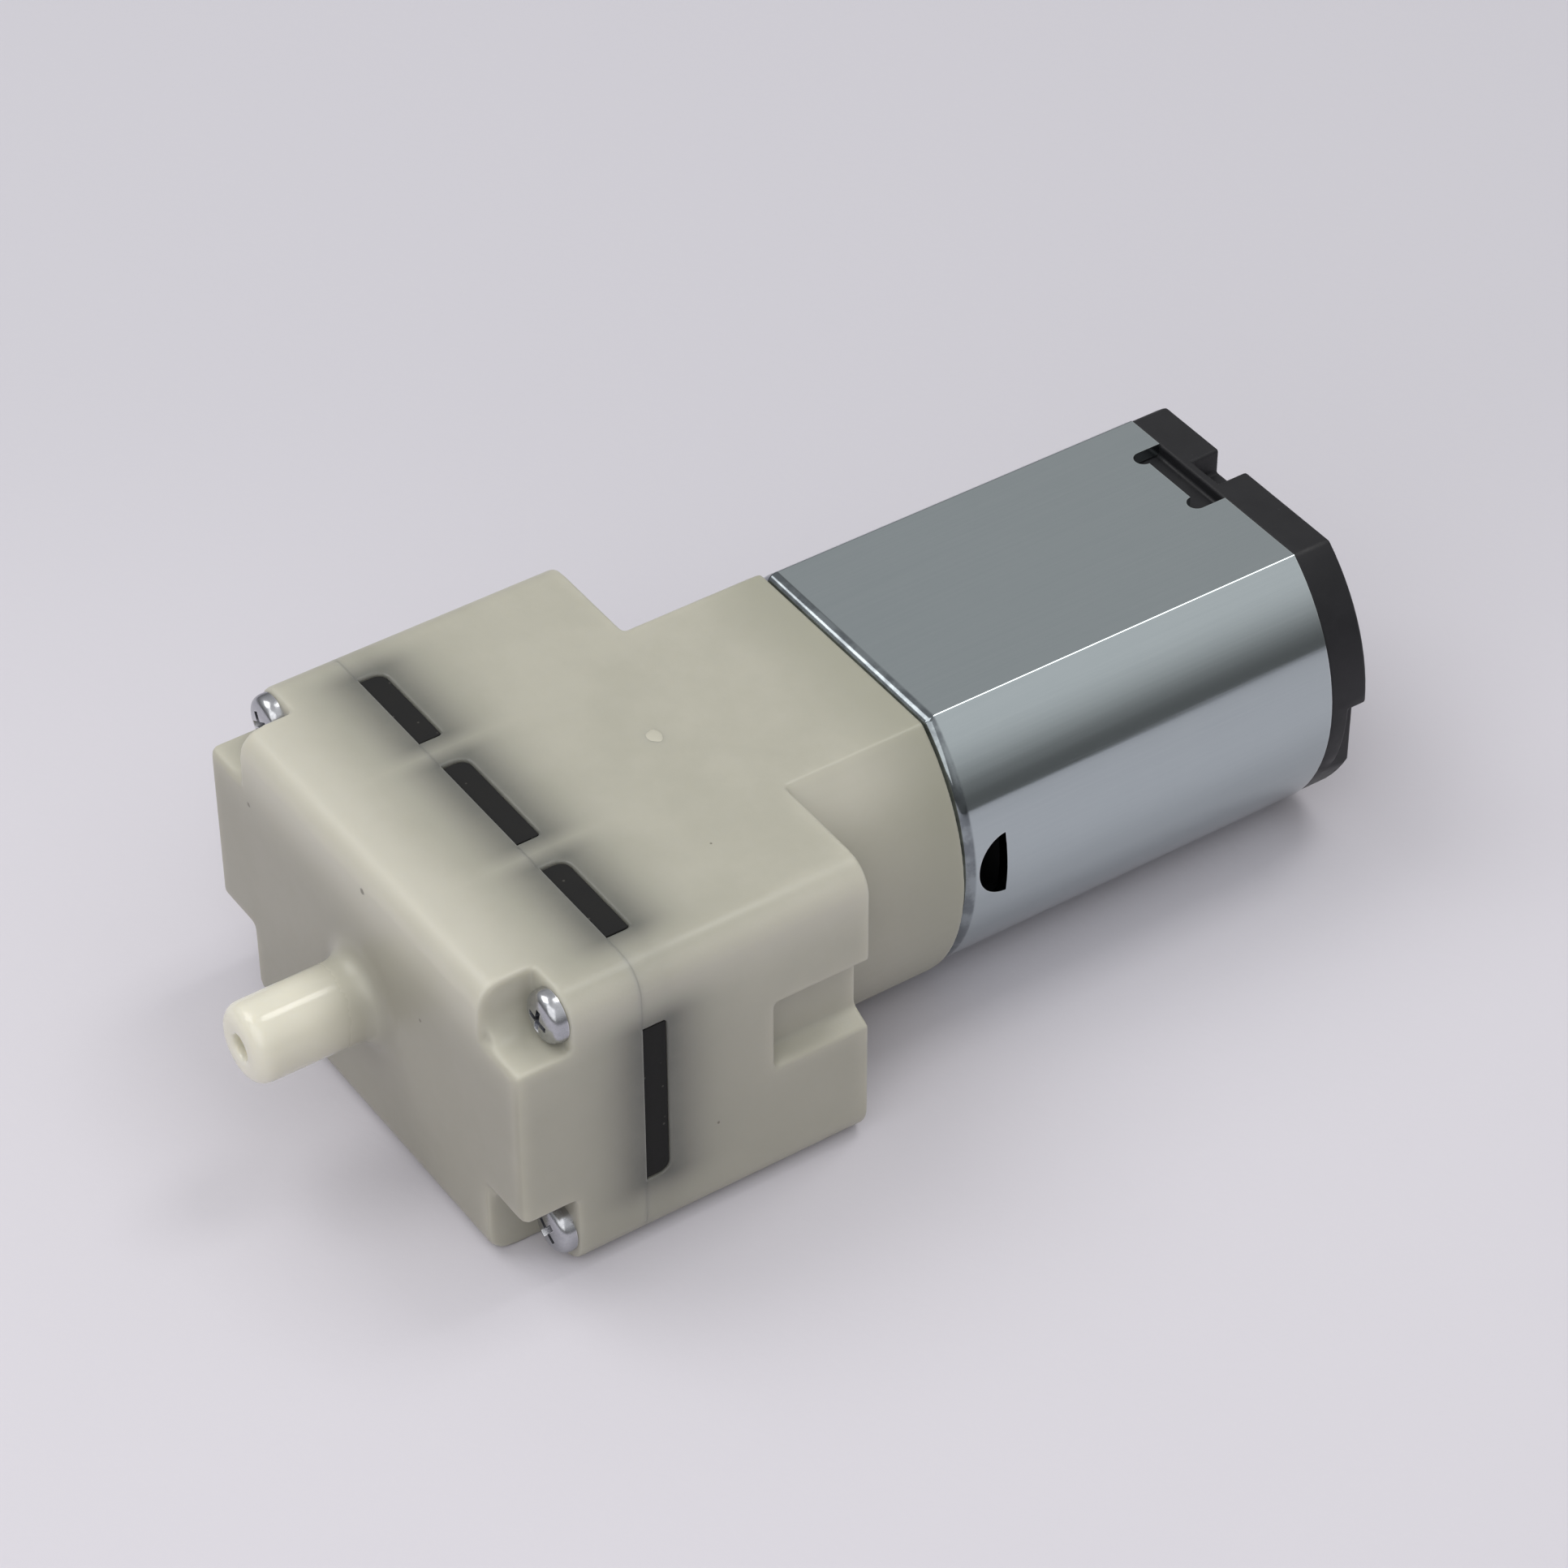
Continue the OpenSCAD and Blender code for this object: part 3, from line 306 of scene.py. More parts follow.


# Painted shade darkens the upright walls low down, and painted light makes them paler near the top and along
# every edge
def addPaintedWallLight(tree, place, colour, frontY, topZ):
    _, alongPump, height = put(tree, "ShaderNodeSeparateXYZ", {0: place}).outputs
    normal = put(tree, "ShaderNodeNewGeometry").outputs["Normal"]
    facing = put(tree, "ShaderNodeSeparateXYZ", {0: normal}).outputs
    onFront = remap(tree, facing[1], *creamSet["facingFront"])
    onSide = remap(tree, calc(tree, "ABSOLUTE", facing[0]), *creamSet["facingSide"])
    # Painted shade low on the front and on the sides
    shadeLowOnFront = shareBelowTop(tree, height, topZ, *creamSet["frontLowShade"])
    shadeLowOnFront = calc(tree, "MULTIPLY", onFront, shadeLowOnFront)
    shadeLowOnSide = shareBelowTop(tree, height, topZ, *creamSet["sideLowShade"])
    shadeLowOnSide = calc(tree, "MULTIPLY", onSide, shadeLowOnSide)
    colour = mixColour(tree, calc(tree, "MAXIMUM", shadeLowOnFront, shadeLowOnSide), colour, creamSet["lowWallShade"])
    # Painted light on every edge, along the upper front edge and near the top of the sides
    edge = useGroup(tree, edgeGroup, {
        "Vector": place, "Edge Width": creamSet["edgeWidth"],
        "Breakup Size": creamSet["edgeBreakup"]}).outputs[0]
    behind, before = creamSet["frontEdgeDepth"]
    frontEdge = calc(tree, "MULTIPLY", remap(tree, alongPump, frontY + behind, frontY + before),
                     shareBelowTop(tree, height, topZ, *creamSet["frontEdge"]))
    sideTop = calc(tree, "MULTIPLY", onSide, shareBelowTop(tree, height, topZ, *creamSet["sideTop"]))
    glow = calc(tree, "MULTIPLY", edge, creamSet["edgeGlow"])
    glow = calc(tree, "MAXIMUM", calc(tree, "MAXIMUM", glow, frontEdge), sideTop)
    return mixColour(tree, glow, colour, creamSet["pale"])


def makeCreamFinish(sheetY, frontY, shoulderY, topZ):
    material, tree, shader, place = startFinish("creamPlastic", {
        "IOR": 1.5, "Subsurface Weight": 0.5, "Subsurface Scale": creamSet["scatter"] * mm,
        "Subsurface Radius": (1.0, 0.94, 0.78)})
    grain, patches = useGroup(tree, grainGroup, {
        "Vector": place, "Grain Size": creamSet["grain"], "Patch Size": creamSet["patches"]}).outputs
    alongPump = put(tree, "ShaderNodeSeparateXYZ", {0: place}).outputs[1]
    paleShare = calc(tree, "MULTIPLY", patches, creamSet["patchShare"])
    colour = mixColour(tree, paleShare, creamSet["base"], creamSet["pale"])
    colour = addPaintedWallLight(tree, place, colour, frontY, topZ)
    # Painted shade along the neck, over the motor's steel
    near, far = creamSet["neckFade"]
    onNeck = remap(tree, alongPump, shoulderY + near, shoulderY + far)
    colour = mixColour(tree, onNeck, colour, creamSet["neck"])
    # Painted light through the nipple's thin wall
    behind, before = creamSet["nippleFade"]
    onNipple = remap(tree, alongPump, frontY + behind, frontY - before)
    colour = mixColour(tree, onNipple, colour, creamSet["nipple"])
    shade = sheetShade(tree, place, alongPump, sheetY, patches)
    colour = mixColour(tree, shade, colour, creamSet["shaded"])
    for middle, radius in creamSet["specks"]:
        speck = useGroup(tree, spotGroup, {
            "Vector": place, "Spot Middle": middle, "Spot Radius": radius}).outputs[0]
        speckShare = calc(tree, "MULTIPLY", speck, creamSet["speckShare"])
        colour = mixColour(tree, speckShare, colour, creamSet["speck"])
    tree.links.new(colour, shader.inputs["Base Color"])
    roughness = remap(tree, onNipple, 0.0, 1.0, creamSet["roughness"], creamSet["nippleRoughness"])
    uneven = remap(tree, patches, 0.0, 1.0, *creamSet["roughnessUneven"])
    tree.links.new(calc(tree, "MULTIPLY", roughness, uneven), shader.inputs["Roughness"])
    feedBump(tree, shader, grain, creamSet["grainDepth"])
    return material


plasticSets = {
    "capPlastic": {"base": srgb(24, 24, 27), "wornAndSheen": srgb(58, 58, 61), "roughness": 0.42, "grain": 0.07},
    "gatePlastic": {
        "base": srgb(188, 185, 170), "wornAndSheen": srgb(200, 198, 184), "roughness": 0.35, "grain": 0.1},
    "innerPlastic": {
        "base": srgb(206, 203, 190), "wornAndSheen": srgb(222, 220, 210), "roughness": 0.4, "grain": 0.1},
    "washerPlastic": {
        "base": srgb(214, 214, 210), "wornAndSheen": srgb(230, 230, 228), "roughness": 0.45, "grain": 0.1},
    "commutatorPlastic": {
        "base": srgb(84, 50, 30), "wornAndSheen": srgb(112, 74, 48), "roughness": 0.5, "grain": 0.08},
    "ferrite": {"base": srgb(58, 58, 61), "wornAndSheen": srgb(96, 96, 99), "roughness": 0.62, "grain": 0.05},
}
plasticWearAndSheen = {
    "patches": 1.8,  # mm across
    "patchShare": 0.12,  # share of the paler colour in the patches,
    "edgeShare": 0.55,  # on the edges, as wear and a painted sheen,
    "dustShare": 0.4,  # and in the specks of dust
    "edgeWidth": 0.09,  # mm
    "edgeBreakup": 0.5,  # mm
    "dust": {"Spacing": 0.5, "Speck Size": 0.035, "Share Left Out": 0.8},
    "roughnessSpan": 0.14,
    "grainDepth": 0.004,  # mm
}


def makePlasticFinish(name):
    values = plasticSets[name]
    material, tree, shader, place = startFinish(name, {"IOR": 1.46, "Specular IOR Level": 0.4})
    grain, patches = useGroup(tree, grainGroup, {
        "Vector": place, "Grain Size": values["grain"], "Patch Size": plasticWearAndSheen["patches"]}).outputs
    edge = useGroup(tree, edgeGroup, {
        "Vector": place, "Edge Width": plasticWearAndSheen["edgeWidth"],
        "Breakup Size": plasticWearAndSheen["edgeBreakup"]}).outputs[0]
    dust = useGroup(tree, speckGroup, {"Vector": place, **plasticWearAndSheen["dust"]}).outputs[0]
    paleShare = calc(tree, "MULTIPLY", patches, plasticWearAndSheen["patchShare"])
    colour = mixColour(tree, paleShare, values["base"], values["wornAndSheen"])
    # Paler edges are wear and a painted sheen; paler specks are dust
    marks = calc(tree, "MAXIMUM", calc(tree, "MULTIPLY", edge, plasticWearAndSheen["edgeShare"]),
                 calc(tree, "MULTIPLY", dust, plasticWearAndSheen["dustShare"]))
    tree.links.new(mixColour(tree, marks, colour, values["wornAndSheen"]), shader.inputs["Base Color"])
    roughness = values["roughness"]
    roughness = remap(tree, patches, 0.0, 1.0, roughness, roughness + plasticWearAndSheen["roughnessSpan"])
    tree.links.new(roughness, shader.inputs["Roughness"])
    feedBump(tree, shader, grain, plasticWearAndSheen["grainDepth"])
    return material


rubberSet = {
    "base": srgb(24, 24, 24),
    "dusty": srgb(92, 90, 85),
    "patchShare": 0.05,  # share of the dusty colour in the patches,
    "dustShare": 0.45,  # and in the specks of dust
    "dust": {"Spacing": 0.42, "Speck Size": 0.045, "Share Left Out": 0.8},
    "roughness": (0.8, 0.9),
    "grain": 0.05,  # mm
    "patches": 0.9,  # mm across
    "grainDepth": 0.006,  # mm
}


def makeRubberFinish():
    material, tree, shader, place = startFinish("rubber", {"IOR": 1.45, "Specular IOR Level": 0.35})
    grain, patches = useGroup(tree, grainGroup, {
        "Vector": place, "Grain Size": rubberSet["grain"], "Patch Size": rubberSet["patches"]}).outputs
    dust = useGroup(tree, speckGroup, {"Vector": place, **rubberSet["dust"]}).outputs[0]
    dustyShare = calc(tree, "MULTIPLY", patches, rubberSet["patchShare"])
    colour = mixColour(tree, dustyShare, rubberSet["base"], rubberSet["dusty"])
    dust = calc(tree, "MULTIPLY", dust, rubberSet["dustShare"])
    tree.links.new(mixColour(tree, dust, colour, rubberSet["dusty"]), shader.inputs["Base Color"])
    tree.links.new(remap(tree, patches, 0.0, 1.0, *rubberSet["roughness"]), shader.inputs["Roughness"])
    feedBump(tree, shader, grain, rubberSet["grainDepth"])
    return material


metalSets = {
    "canSteel": {
        "base": srgb(183, 191, 193), "dull": srgb(167, 177, 180), "edge": srgb(214, 218, 219),
        "roughness": 0.08, "patches": 0.12, "markWidth": 0.12, "markLength": 9.0, "markDepth": 0.0005,
        "rim": srgb(120, 126, 130),  # darker, a painted shade that dims the reflection on the can's rounded front rim
        "rimPlace": (3.125, 3.245)},  # mm along the pump, where that tone is still full and where it is gone
    "screwSteel": {
        "base": srgb(206, 207, 210), "dull": srgb(150, 152, 158), "edge": srgb(240, 240, 242),
        "roughness": 0.17, "patches": 0.8, "markWidth": 0.12, "markLength": 0.12, "markDepth": 0.002},
    "plainSteel": {
        "base": srgb(188, 189, 192), "dull": srgb(140, 142, 147), "edge": srgb(226, 227, 229),
        "roughness": 0.22, "patches": 0.8, "markWidth": 0.3, "markLength": 0.05, "markDepth": 0.001},
    "bronze": {
        "base": srgb(176, 134, 82), "dull": srgb(120, 86, 50), "edge": srgb(208, 170, 118),
        "roughness": 0.38, "patches": 0.8, "markWidth": 0.08, "markLength": 0.08, "markDepth": 0.006},
    "contactBrass": {
        "base": srgb(208, 178, 104), "dull": srgb(150, 122, 66), "edge": srgb(232, 208, 144),
        "roughness": 0.26, "patches": 0.8, "markWidth": 0.1, "markLength": 2.0, "markDepth": 0.001},
    "copper": {
        "base": srgb(186, 98, 58), "dull": srgb(120, 54, 30), "edge": srgb(214, 132, 88),
        "roughness": 0.28, "patches": 0.8, "markWidth": 0.1, "markLength": 0.4, "markDepth": 0.001},
    "coreSteel": {
        "base": srgb(142, 144, 149), "dull": srgb(96, 97, 101), "edge": srgb(178, 179, 182),
        "roughness": 0.36, "patches": 0.8, "markWidth": 2.0, "markLength": 0.12, "markDepth": 0.01},
}
metalWearAndGlint = {
    "dullShare": 0.5,
    "edgeShare": 0.7,
    "edgeWidth": 0.07,  # mm
    "edgeBreakup": 0.4,  # mm
    "grain": 0.12,  # mm
    "patches": 1.5,  # mm across
    "rimPatches": (0.2, 0.8),  # between these values of the patches
    "rimUneven": (1.0, 0.55),  # the rim's painted darker tone has this share
    "unevenSpan": (0.3, 1.5),  # of the marks and patches together, from the smoothest to the roughest
    "roughnessSpan": 0.12,
}


def makeMetalFinish(name):
    values = metalSets[name]
    material, tree, shader, place = startFinish(name, {"Metallic": 1.0})
    patches = useGroup(tree, grainGroup, {
        "Vector": place, "Grain Size": metalWearAndGlint["grain"], "Patch Size": metalWearAndGlint["patches"]}).outputs[1]
    marks = useGroup(tree, drawMarkGroup, {
        "Vector": place, "Mark Width": values["markWidth"], "Mark Length": values["markLength"]}).outputs[0]
    edge = useGroup(tree, edgeGroup, {
        "Vector": place, "Edge Width": metalWearAndGlint["edgeWidth"],
        "Breakup Size": metalWearAndGlint["edgeBreakup"]}).outputs[0]
    uneven = calc(tree, "ADD", marks, calc(tree, "MULTIPLY", patches, values["patches"]))
    dullShare = calc(tree, "MULTIPLY", uneven, metalWearAndGlint["dullShare"])
    colour = mixColour(tree, dullShare, values["base"], values["dull"])
    # Paler edges: wear, and a painted glint along them
    colour = mixColour(tree, calc(tree, "MULTIPLY", edge, metalWearAndGlint["edgeShare"]), colour, values["edge"])
    # Painted shade dims the reflection on the can's rounded front rim
    if "rim" in values:
        alongPump = put(tree, "ShaderNodeSeparateXYZ", {0: place}).outputs[1]
        full, none = values["rimPlace"]
        rimShadeShare = calc(tree, "MULTIPLY", remap(tree, alongPump, none, full),
                        remap(tree, patches, *metalWearAndGlint["rimPatches"], *metalWearAndGlint["rimUneven"]))
        colour = mixColour(tree, rimShadeShare, colour, values["rim"])
    tree.links.new(colour, shader.inputs["Base Color"])
    roughness = values["roughness"]
    roughness = remap(tree, uneven, *metalWearAndGlint["unevenSpan"], roughness, roughness + metalWearAndGlint["roughnessSpan"])
    tree.links.new(roughness, shader.inputs["Roughness"])
    feedBump(tree, shader, marks, values["markDepth"])
    return material


nippleLength = 5.05 * mm
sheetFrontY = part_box("diaphragm")[0].y
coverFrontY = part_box("head_cover")[0].y + nippleLength
shoulderY = -3.375 * mm  # where the head narrows to the neck
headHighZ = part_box("head_cover")[1].z
sheetMiddleY = sheetFrontY / mm + windowSet["sheetHalf"]
finishes = {"rubber": makeRubberFinish(),
            "cream": makeCreamFinish(sheetMiddleY, coverFrontY / mm, shoulderY / mm, headHighZ / mm)}
finishes.update({name: makePlasticFinish(name) for name in plasticSets})
finishes.update({name: makeMetalFinish(name) for name in metalSets})
print("finishes made:", len(finishes))


# Mesh helpers
def linkPiece(name, mesh):
    piece = bpy.data.objects.new(name, mesh)
    bpy.context.scene.collection.objects.link(piece)
    return piece


def finishPiece(piece, finish, slot, body, *nodes, smoothAngle=32, flatFirst=False):
    piece.data.materials.clear()
    piece.data.materials.append(finishes[finish])
    piece.data.shade_smooth()
    piece.data.set_sharp_from_angle(angle=math.radians(smoothAngle))
    if flatFirst:
        settleNormals(piece)
    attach(piece, body)
    if nodes:
        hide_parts(*nodes)
    return piece


# A copy of a mesh as its live modifiers leave it, without them
def settled(piece):
    made = bpy.data.meshes.new_from_object(piece.evaluated_get(bpy.context.evaluated_depsgraph_get()))
    made.name = piece.name
    piece.modifiers.clear()
    piece.data = made
    return piece


# Flat faces stay flat in the shading, and only the roundings between them turn
def settleNormals(piece):
    weighted = piece.modifiers.new("flatFacesFirst", "WEIGHTED_NORMAL")
    weighted.mode = "FACE_AREA"
    weighted.weight = 80
    weighted.keep_sharp = True
    settled(piece)


def cleanCopy(nodeName, mergeAngle):
    shape = bmesh.new()
    shape.from_mesh(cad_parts[nodeName].data)
    bmesh.ops.remove_doubles(shape, verts=shape.verts, dist=0.002 * mm)
    bmesh.ops.dissolve_limit(
        shape, angle_limit=math.radians(mergeAngle), verts=shape.verts, edges=shape.edges)
    return shape


def storeShape(shape, pieceName):
    bmesh.ops.recalc_face_normals(shape, faces=shape.faces)
    mesh = bpy.data.meshes.new(pieceName)
    shape.to_mesh(mesh)
    shape.free()
    return linkPiece(pieceName, mesh)


# A moulded part is cast anew from small cells, in millimetres, and smoothed, so every edge and inner corner
# is round. The parting plane stays sharp: the part runs on past it meanwhile and is cut there afterwards.
mouldSet = {
    "cell": 0.08,  # mm
    "passes": {"head_cover": 24, "pump_housing": 12},  # of smoothing
    "share": 0.2,  # of the faces that are kept
    "pastParting": 0.8,  # mm
}


def mouldedCopy(nodeName, pieceName, partingY, side):
    shape = cleanCopy(nodeName, mergeAngle=0.5)
    bmesh.ops.scale(shape, vec=Vector((1, 1, 1)) / mm, verts=shape.verts)
    plane = partingY / mm
    onPlane = 0.01  # mm
    for vert in shape.verts:
        if abs(vert.co.y - plane) < onPlane:
            vert.co.y += side * mouldSet["pastParting"]
    piece = storeShape(shape, pieceName)
    cells = piece.modifiers.new("cells", "REMESH")
    cells.mode = "VOXEL"
    cells.voxel_size = mouldSet["cell"]
    smooth = piece.modifiers.new("smooth", "SMOOTH")
    smooth.factor = 0.5
    smooth.iterations = mouldSet["passes"][nodeName]
    fewer = piece.modifiers.new("fewer", "DECIMATE")
    fewer.ratio = mouldSet["share"]
    settled(piece)
    shape = bmesh.new()
    shape.from_mesh(piece.data)
    everything = list(shape.verts) + list(shape.edges) + list(shape.faces)
    cut = bmesh.ops.bisect_plane(shape, geom=everything, dist=0.0001, plane_co=(0, plane, 0),
                                 plane_no=(0, side, 0), clear_outer=True)
    rim = [e for e in cut["geom_cut"] if isinstance(e, bmesh.types.BMEdge)]
    bmesh.ops.triangle_fill(shape, use_beauty=True, edges=rim, normal=(0, side, 0))
    bmesh.ops.scale(shape, vec=Vector((1, 1, 1)) * mm, verts=shape.verts)
    bmesh.ops.recalc_face_normals(shape, faces=shape.faces)
    shape.to_mesh(piece.data)
    shape.free()
    return piece


# A copy of a part with chosen sharp edges broken by a small radius
def softenedCopy(nodeName, pieceName, edgeRadius, sharpFrom, chosen=None):
    shape = cleanCopy(nodeName, mergeAngle=0.8)
    least = math.radians(sharpFrom)
    sharp = [e for e in shape.edges if e.is_manifold and e.calc_face_angle() > least
             and (chosen is None or chosen(e))]
    bmesh.ops.bevel(shape, geom=sharp, offset=edgeRadius, offset_type="OFFSET", segments=3, profile=0.5,
                    affect="EDGES", clamp_overlap=False, loop_slide=True)
    bmesh.ops.remove_doubles(shape, verts=shape.verts, dist=0.001 * mm)
    return storeShape(shape, pieceName)


# The can's long creases, not its rims, vents and hooks
def onCanCrease(edge):
    creaseLength = 5 * mm
    return abs(edge.verts[0].co.y - edge.verts[1].co.y) > creaseLength


def makeMouldedPieces():
    for node, name, slot, side in (("head_cover", "headCover", "cover_plastic", 1),
                                   ("pump_housing", "pumpHousing", "housing_plastic", -1)):
        piece = mouldedCopy(node, name, sheetFrontY, side)
        finishPiece(piece, "cream", slot, "pump_body", node, flatFirst=True)
        print(name, "faces:", len(piece.data.polygons))


softenedSet = {
    # node: (piece, edge radius in mm, finish, slot, least angle of an edge that is broken, choice of edges,
    #        least angle of an edge that stays sharp)
    "diaphragm": ("diaphragmRubber", 0.04, "rubber", "rubber", 40, None, 32),
    "motor_can": ("motorCan", 0.06, "canSteel", "can_steel", 20, onCanCrease, 50),
    "end_cap": ("endCap", 0.14, "capPlastic", "cap_plastic", 34, None, 32),
}


def makeSoftenedPieces():
    for node, (name, radius, finish, slot, sharpFrom, chosen, smoothAngle) in softenedSet.items():
        piece = softenedCopy(node, name, radius * mm, sharpFrom, chosen)
        finishPiece(piece, finish, slot, "pump_body", node, smoothAngle=smoothAngle, flatFirst=True)


makeMouldedPieces()
makeSoftenedPieces()
print("moulded and softened pieces made")


# The moulding's gate on the head's top, in mm
gateSet = {"middle": (0.35, -5.68), "radius": 0.36, "rise": 0.05, "sunk": 0.01, "narrower": 0.8,
           "ragged": 0.12, "lobes": 3, "lobeTurn": 0.7}


def makeGateMark():
    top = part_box("pump_housing")[1].z
    shape = bmesh.new()
    bmesh.ops.create_uvsphere(shape, u_segments=40, v_segments=20, radius=gateSet["radius"] * mm)
    flatness = gateSet["rise"] / gateSet["radius"]
    for vert in shape.verts:
        angle = gateSet["lobes"] * math.atan2(vert.co.y, vert.co.x) + gateSet["lobeTurn"]
        ragged = 1 + gateSet["ragged"] * math.sin(angle)
        vert.co = Vector((gateSet["middle"][0] * mm + vert.co.x * ragged,
                          gateSet["middle"][1] * mm + vert.co.y * gateSet["narrower"],
                          top + vert.co.z * flatness - gateSet["sunk"] * mm))
    mesh = bpy.data.meshes.new("gateMark")
    shape.to_mesh(mesh)
    shape.free()
    finishPiece(linkPiece("gateMark", mesh), "gatePlastic", "housing_plastic", "pump_body")


makeGateMark()


# Geometry trees
def runTree(name, startMesh, tree, values):
    piece = linkPiece(name, startMesh)
    modifier = piece.modifiers.new(name, "NODES")
    modifier.node_group = tree
    for item in tree.interface.items_tree:
        if item.in_out == "INPUT" and item.name in values:
            modifier[item.identifier] = values[item.name]
    return settled(piece)


screwForm = {
    "squeeze": -0.45,  # power of the radius that draws the head's ball in to a pan
    "crown": 0.62,  # power of the height that fills its crown
    "recessTaper": (0.55, 1.1),  # widths of a blade 1 mm below and above its middle, to its own width
    "tip": 0.2,  # end of the point, to the shank's core
    "threaded": 0.96,  # share of the shank
}


def makeScrewTree():
    tree, given, out = startGroup("crossHeadScrews", [
        ("Seats", "Geometry", None), ("Head Radius", "Float", 1.0), ("Head Height", "Float", 0.7),
        ("Shank Radius", "Float", 0.45), ("Shank Length", "Float", 7.0), ("Thread Pitch", "Float", 0.35),
        ("Thread Depth", "Float", 0.08), ("Slot Length", "Float", 1.2), ("Slot Width", "Float", 0.3),
        ("Slot Depth", "Float", 0.4), ("Finish", "Material", None)
    ], [("Screws", "Geometry")], "GeometryNodeTree")
    # The head is a ball squeezed into a pan shape, its lower half pressed flat onto the seat
    ball = put(tree, "GeometryNodeMeshUVSphere", {"Segments": 48, "Rings": 28, "Radius": 1.0}).outputs[0]
    place = put(tree, "ShaderNodeSeparateXYZ", {0: put(tree, "GeometryNodeInputPosition").outputs[0]}).outputs
    squareX, squareY = (calc(tree, "MULTIPLY", place[axis], place[axis]) for axis in (0, 1))
    square = calc(tree, "ADD", squareX, squareY)
    radius = calc(tree, "MAXIMUM", calc(tree, "SQRT", square), 0.0001)
    spread = calc(tree, "POWER", radius, screwForm["squeeze"])
    spread = calc(tree, "MULTIPLY", spread, given["Head Radius"])
    rise = calc(tree, "POWER", calc(tree, "MAXIMUM", place[2], 0.0), screwForm["crown"])
    rise = calc(tree, "MULTIPLY", rise, given["Head Height"])
    panPlace = put(tree, "ShaderNodeCombineXYZ", {
        0: calc(tree, "MULTIPLY", place[0], spread), 1: calc(tree, "MULTIPLY", place[1], spread),
        2: rise}).outputs[0]
    head = put(tree, "GeometryNodeSetPosition", {"Geometry": ball, "Position": panPlace}).outputs[0]
    # Two crossed blades, narrower at their foot, cut the recess
    blades = []
    height = calc(tree, "MULTIPLY", given["Slot Depth"], 2.0)
    size = put(tree, "ShaderNodeCombineXYZ", {0: given["Slot Length"], 1: given["Slot Width"], 2: height})
    lift = put(tree, "ShaderNodeCombineXYZ", {2: given["Head Height"]}).outputs[0]
    for turn in (0.0, math.pi / 2):
        blade = put(tree, "GeometryNodeMeshCube", {"Size": size.outputs[0]}).outputs[0]
        position = put(tree, "GeometryNodeInputPosition").outputs[0]
        corner = put(tree, "ShaderNodeSeparateXYZ", {0: position}).outputs
        taper = remap(tree, corner[2], -1 * mm, 1 * mm, *screwForm["recessTaper"])
        narrowed = put(tree, "ShaderNodeCombineXYZ", {
            0: calc(tree, "MULTIPLY", corner[0], taper), 1: calc(tree, "MULTIPLY", corner[1], taper),
            2: corner[2]})
        blade = put(tree, "GeometryNodeSetPosition", {
            "Geometry": blade, "Position": narrowed.outputs[0]}).outputs[0]
        blades.append(put(tree, "GeometryNodeTransform", {
            "Geometry": blade, "Translation": lift, "Rotation": (0, 0, turn)}).outputs[0])
    head = put(tree, "GeometryNodeMeshBoolean", {"Mesh 1": head}, operation="DIFFERENCE", solver="EXACT")
    for blade in blades:
        tree.links.new(blade, head.inputs["Mesh 2"])
    # Shank with a pointed end, and its thread as one long wound ridge
    shankLength = calc(tree, "SUBTRACT", given["Shank Length"], given["Shank Radius"])
    core = calc(tree, "SUBTRACT", given["Shank Radius"], given["Thread Depth"])
    shank = put(tree, "GeometryNodeMeshCylinder", {"Vertices": 24, "Radius": core, "Depth": shankLength})
    down = put(tree, "ShaderNodeCombineXYZ", {2: calc(tree, "MULTIPLY", shankLength, -0.5)}).outputs[0]
    shank = put(tree, "GeometryNodeTransform", {"Geometry": shank.outputs[0], "Translation": down}).outputs[0]
    tip = calc(tree, "MULTIPLY", core, screwForm["tip"])
    point = put(tree, "GeometryNodeMeshCone", {
        "Vertices": 24, "Radius Top": core, "Radius Bottom": tip, "Depth": given["Shank Radius"]})
    footHeight = calc(tree, "MULTIPLY", given["Shank Length"], -1.0)
    foot = put(tree, "ShaderNodeCombineXYZ", {2: footHeight}).outputs[0]
    point = put(tree, "GeometryNodeTransform", {"Geometry": point.outputs[0], "Translation": foot}).outputs[0]
    turns = calc(tree, "DIVIDE", shankLength, given["Thread Pitch"])
    threaded = calc(tree, "MULTIPLY", shankLength, screwForm["threaded"])
    winding = put(tree, "GeometryNodeCurveSpiral", {
        "Resolution": 14, "Rotations": turns, "Start Radius": core, "End Radius": core, "Height": threaded})
    ridge = put(tree, "GeometryNodeCurvePrimitiveCircle", {"Resolution": 3, "Radius": given["Thread Depth"]})
    thread = put(tree, "GeometryNodeCurveToMesh", {
        "Curve": winding.outputs[0], "Profile Curve": ridge.outputs[0], "Fill Caps": True}).outputs[0]
    start = put(tree, "ShaderNodeCombineXYZ", {2: calc(tree, "MULTIPLY", shankLength, -1.0)}).outputs[0]
    thread = put(tree, "GeometryNodeTransform", {"Geometry": thread, "Translation": start}).outputs[0]
    whole = put(tree, "GeometryNodeJoinGeometry")
    for part in (head.outputs[0], shank, point, thread):
        tree.links.new(part, whole.inputs[0])
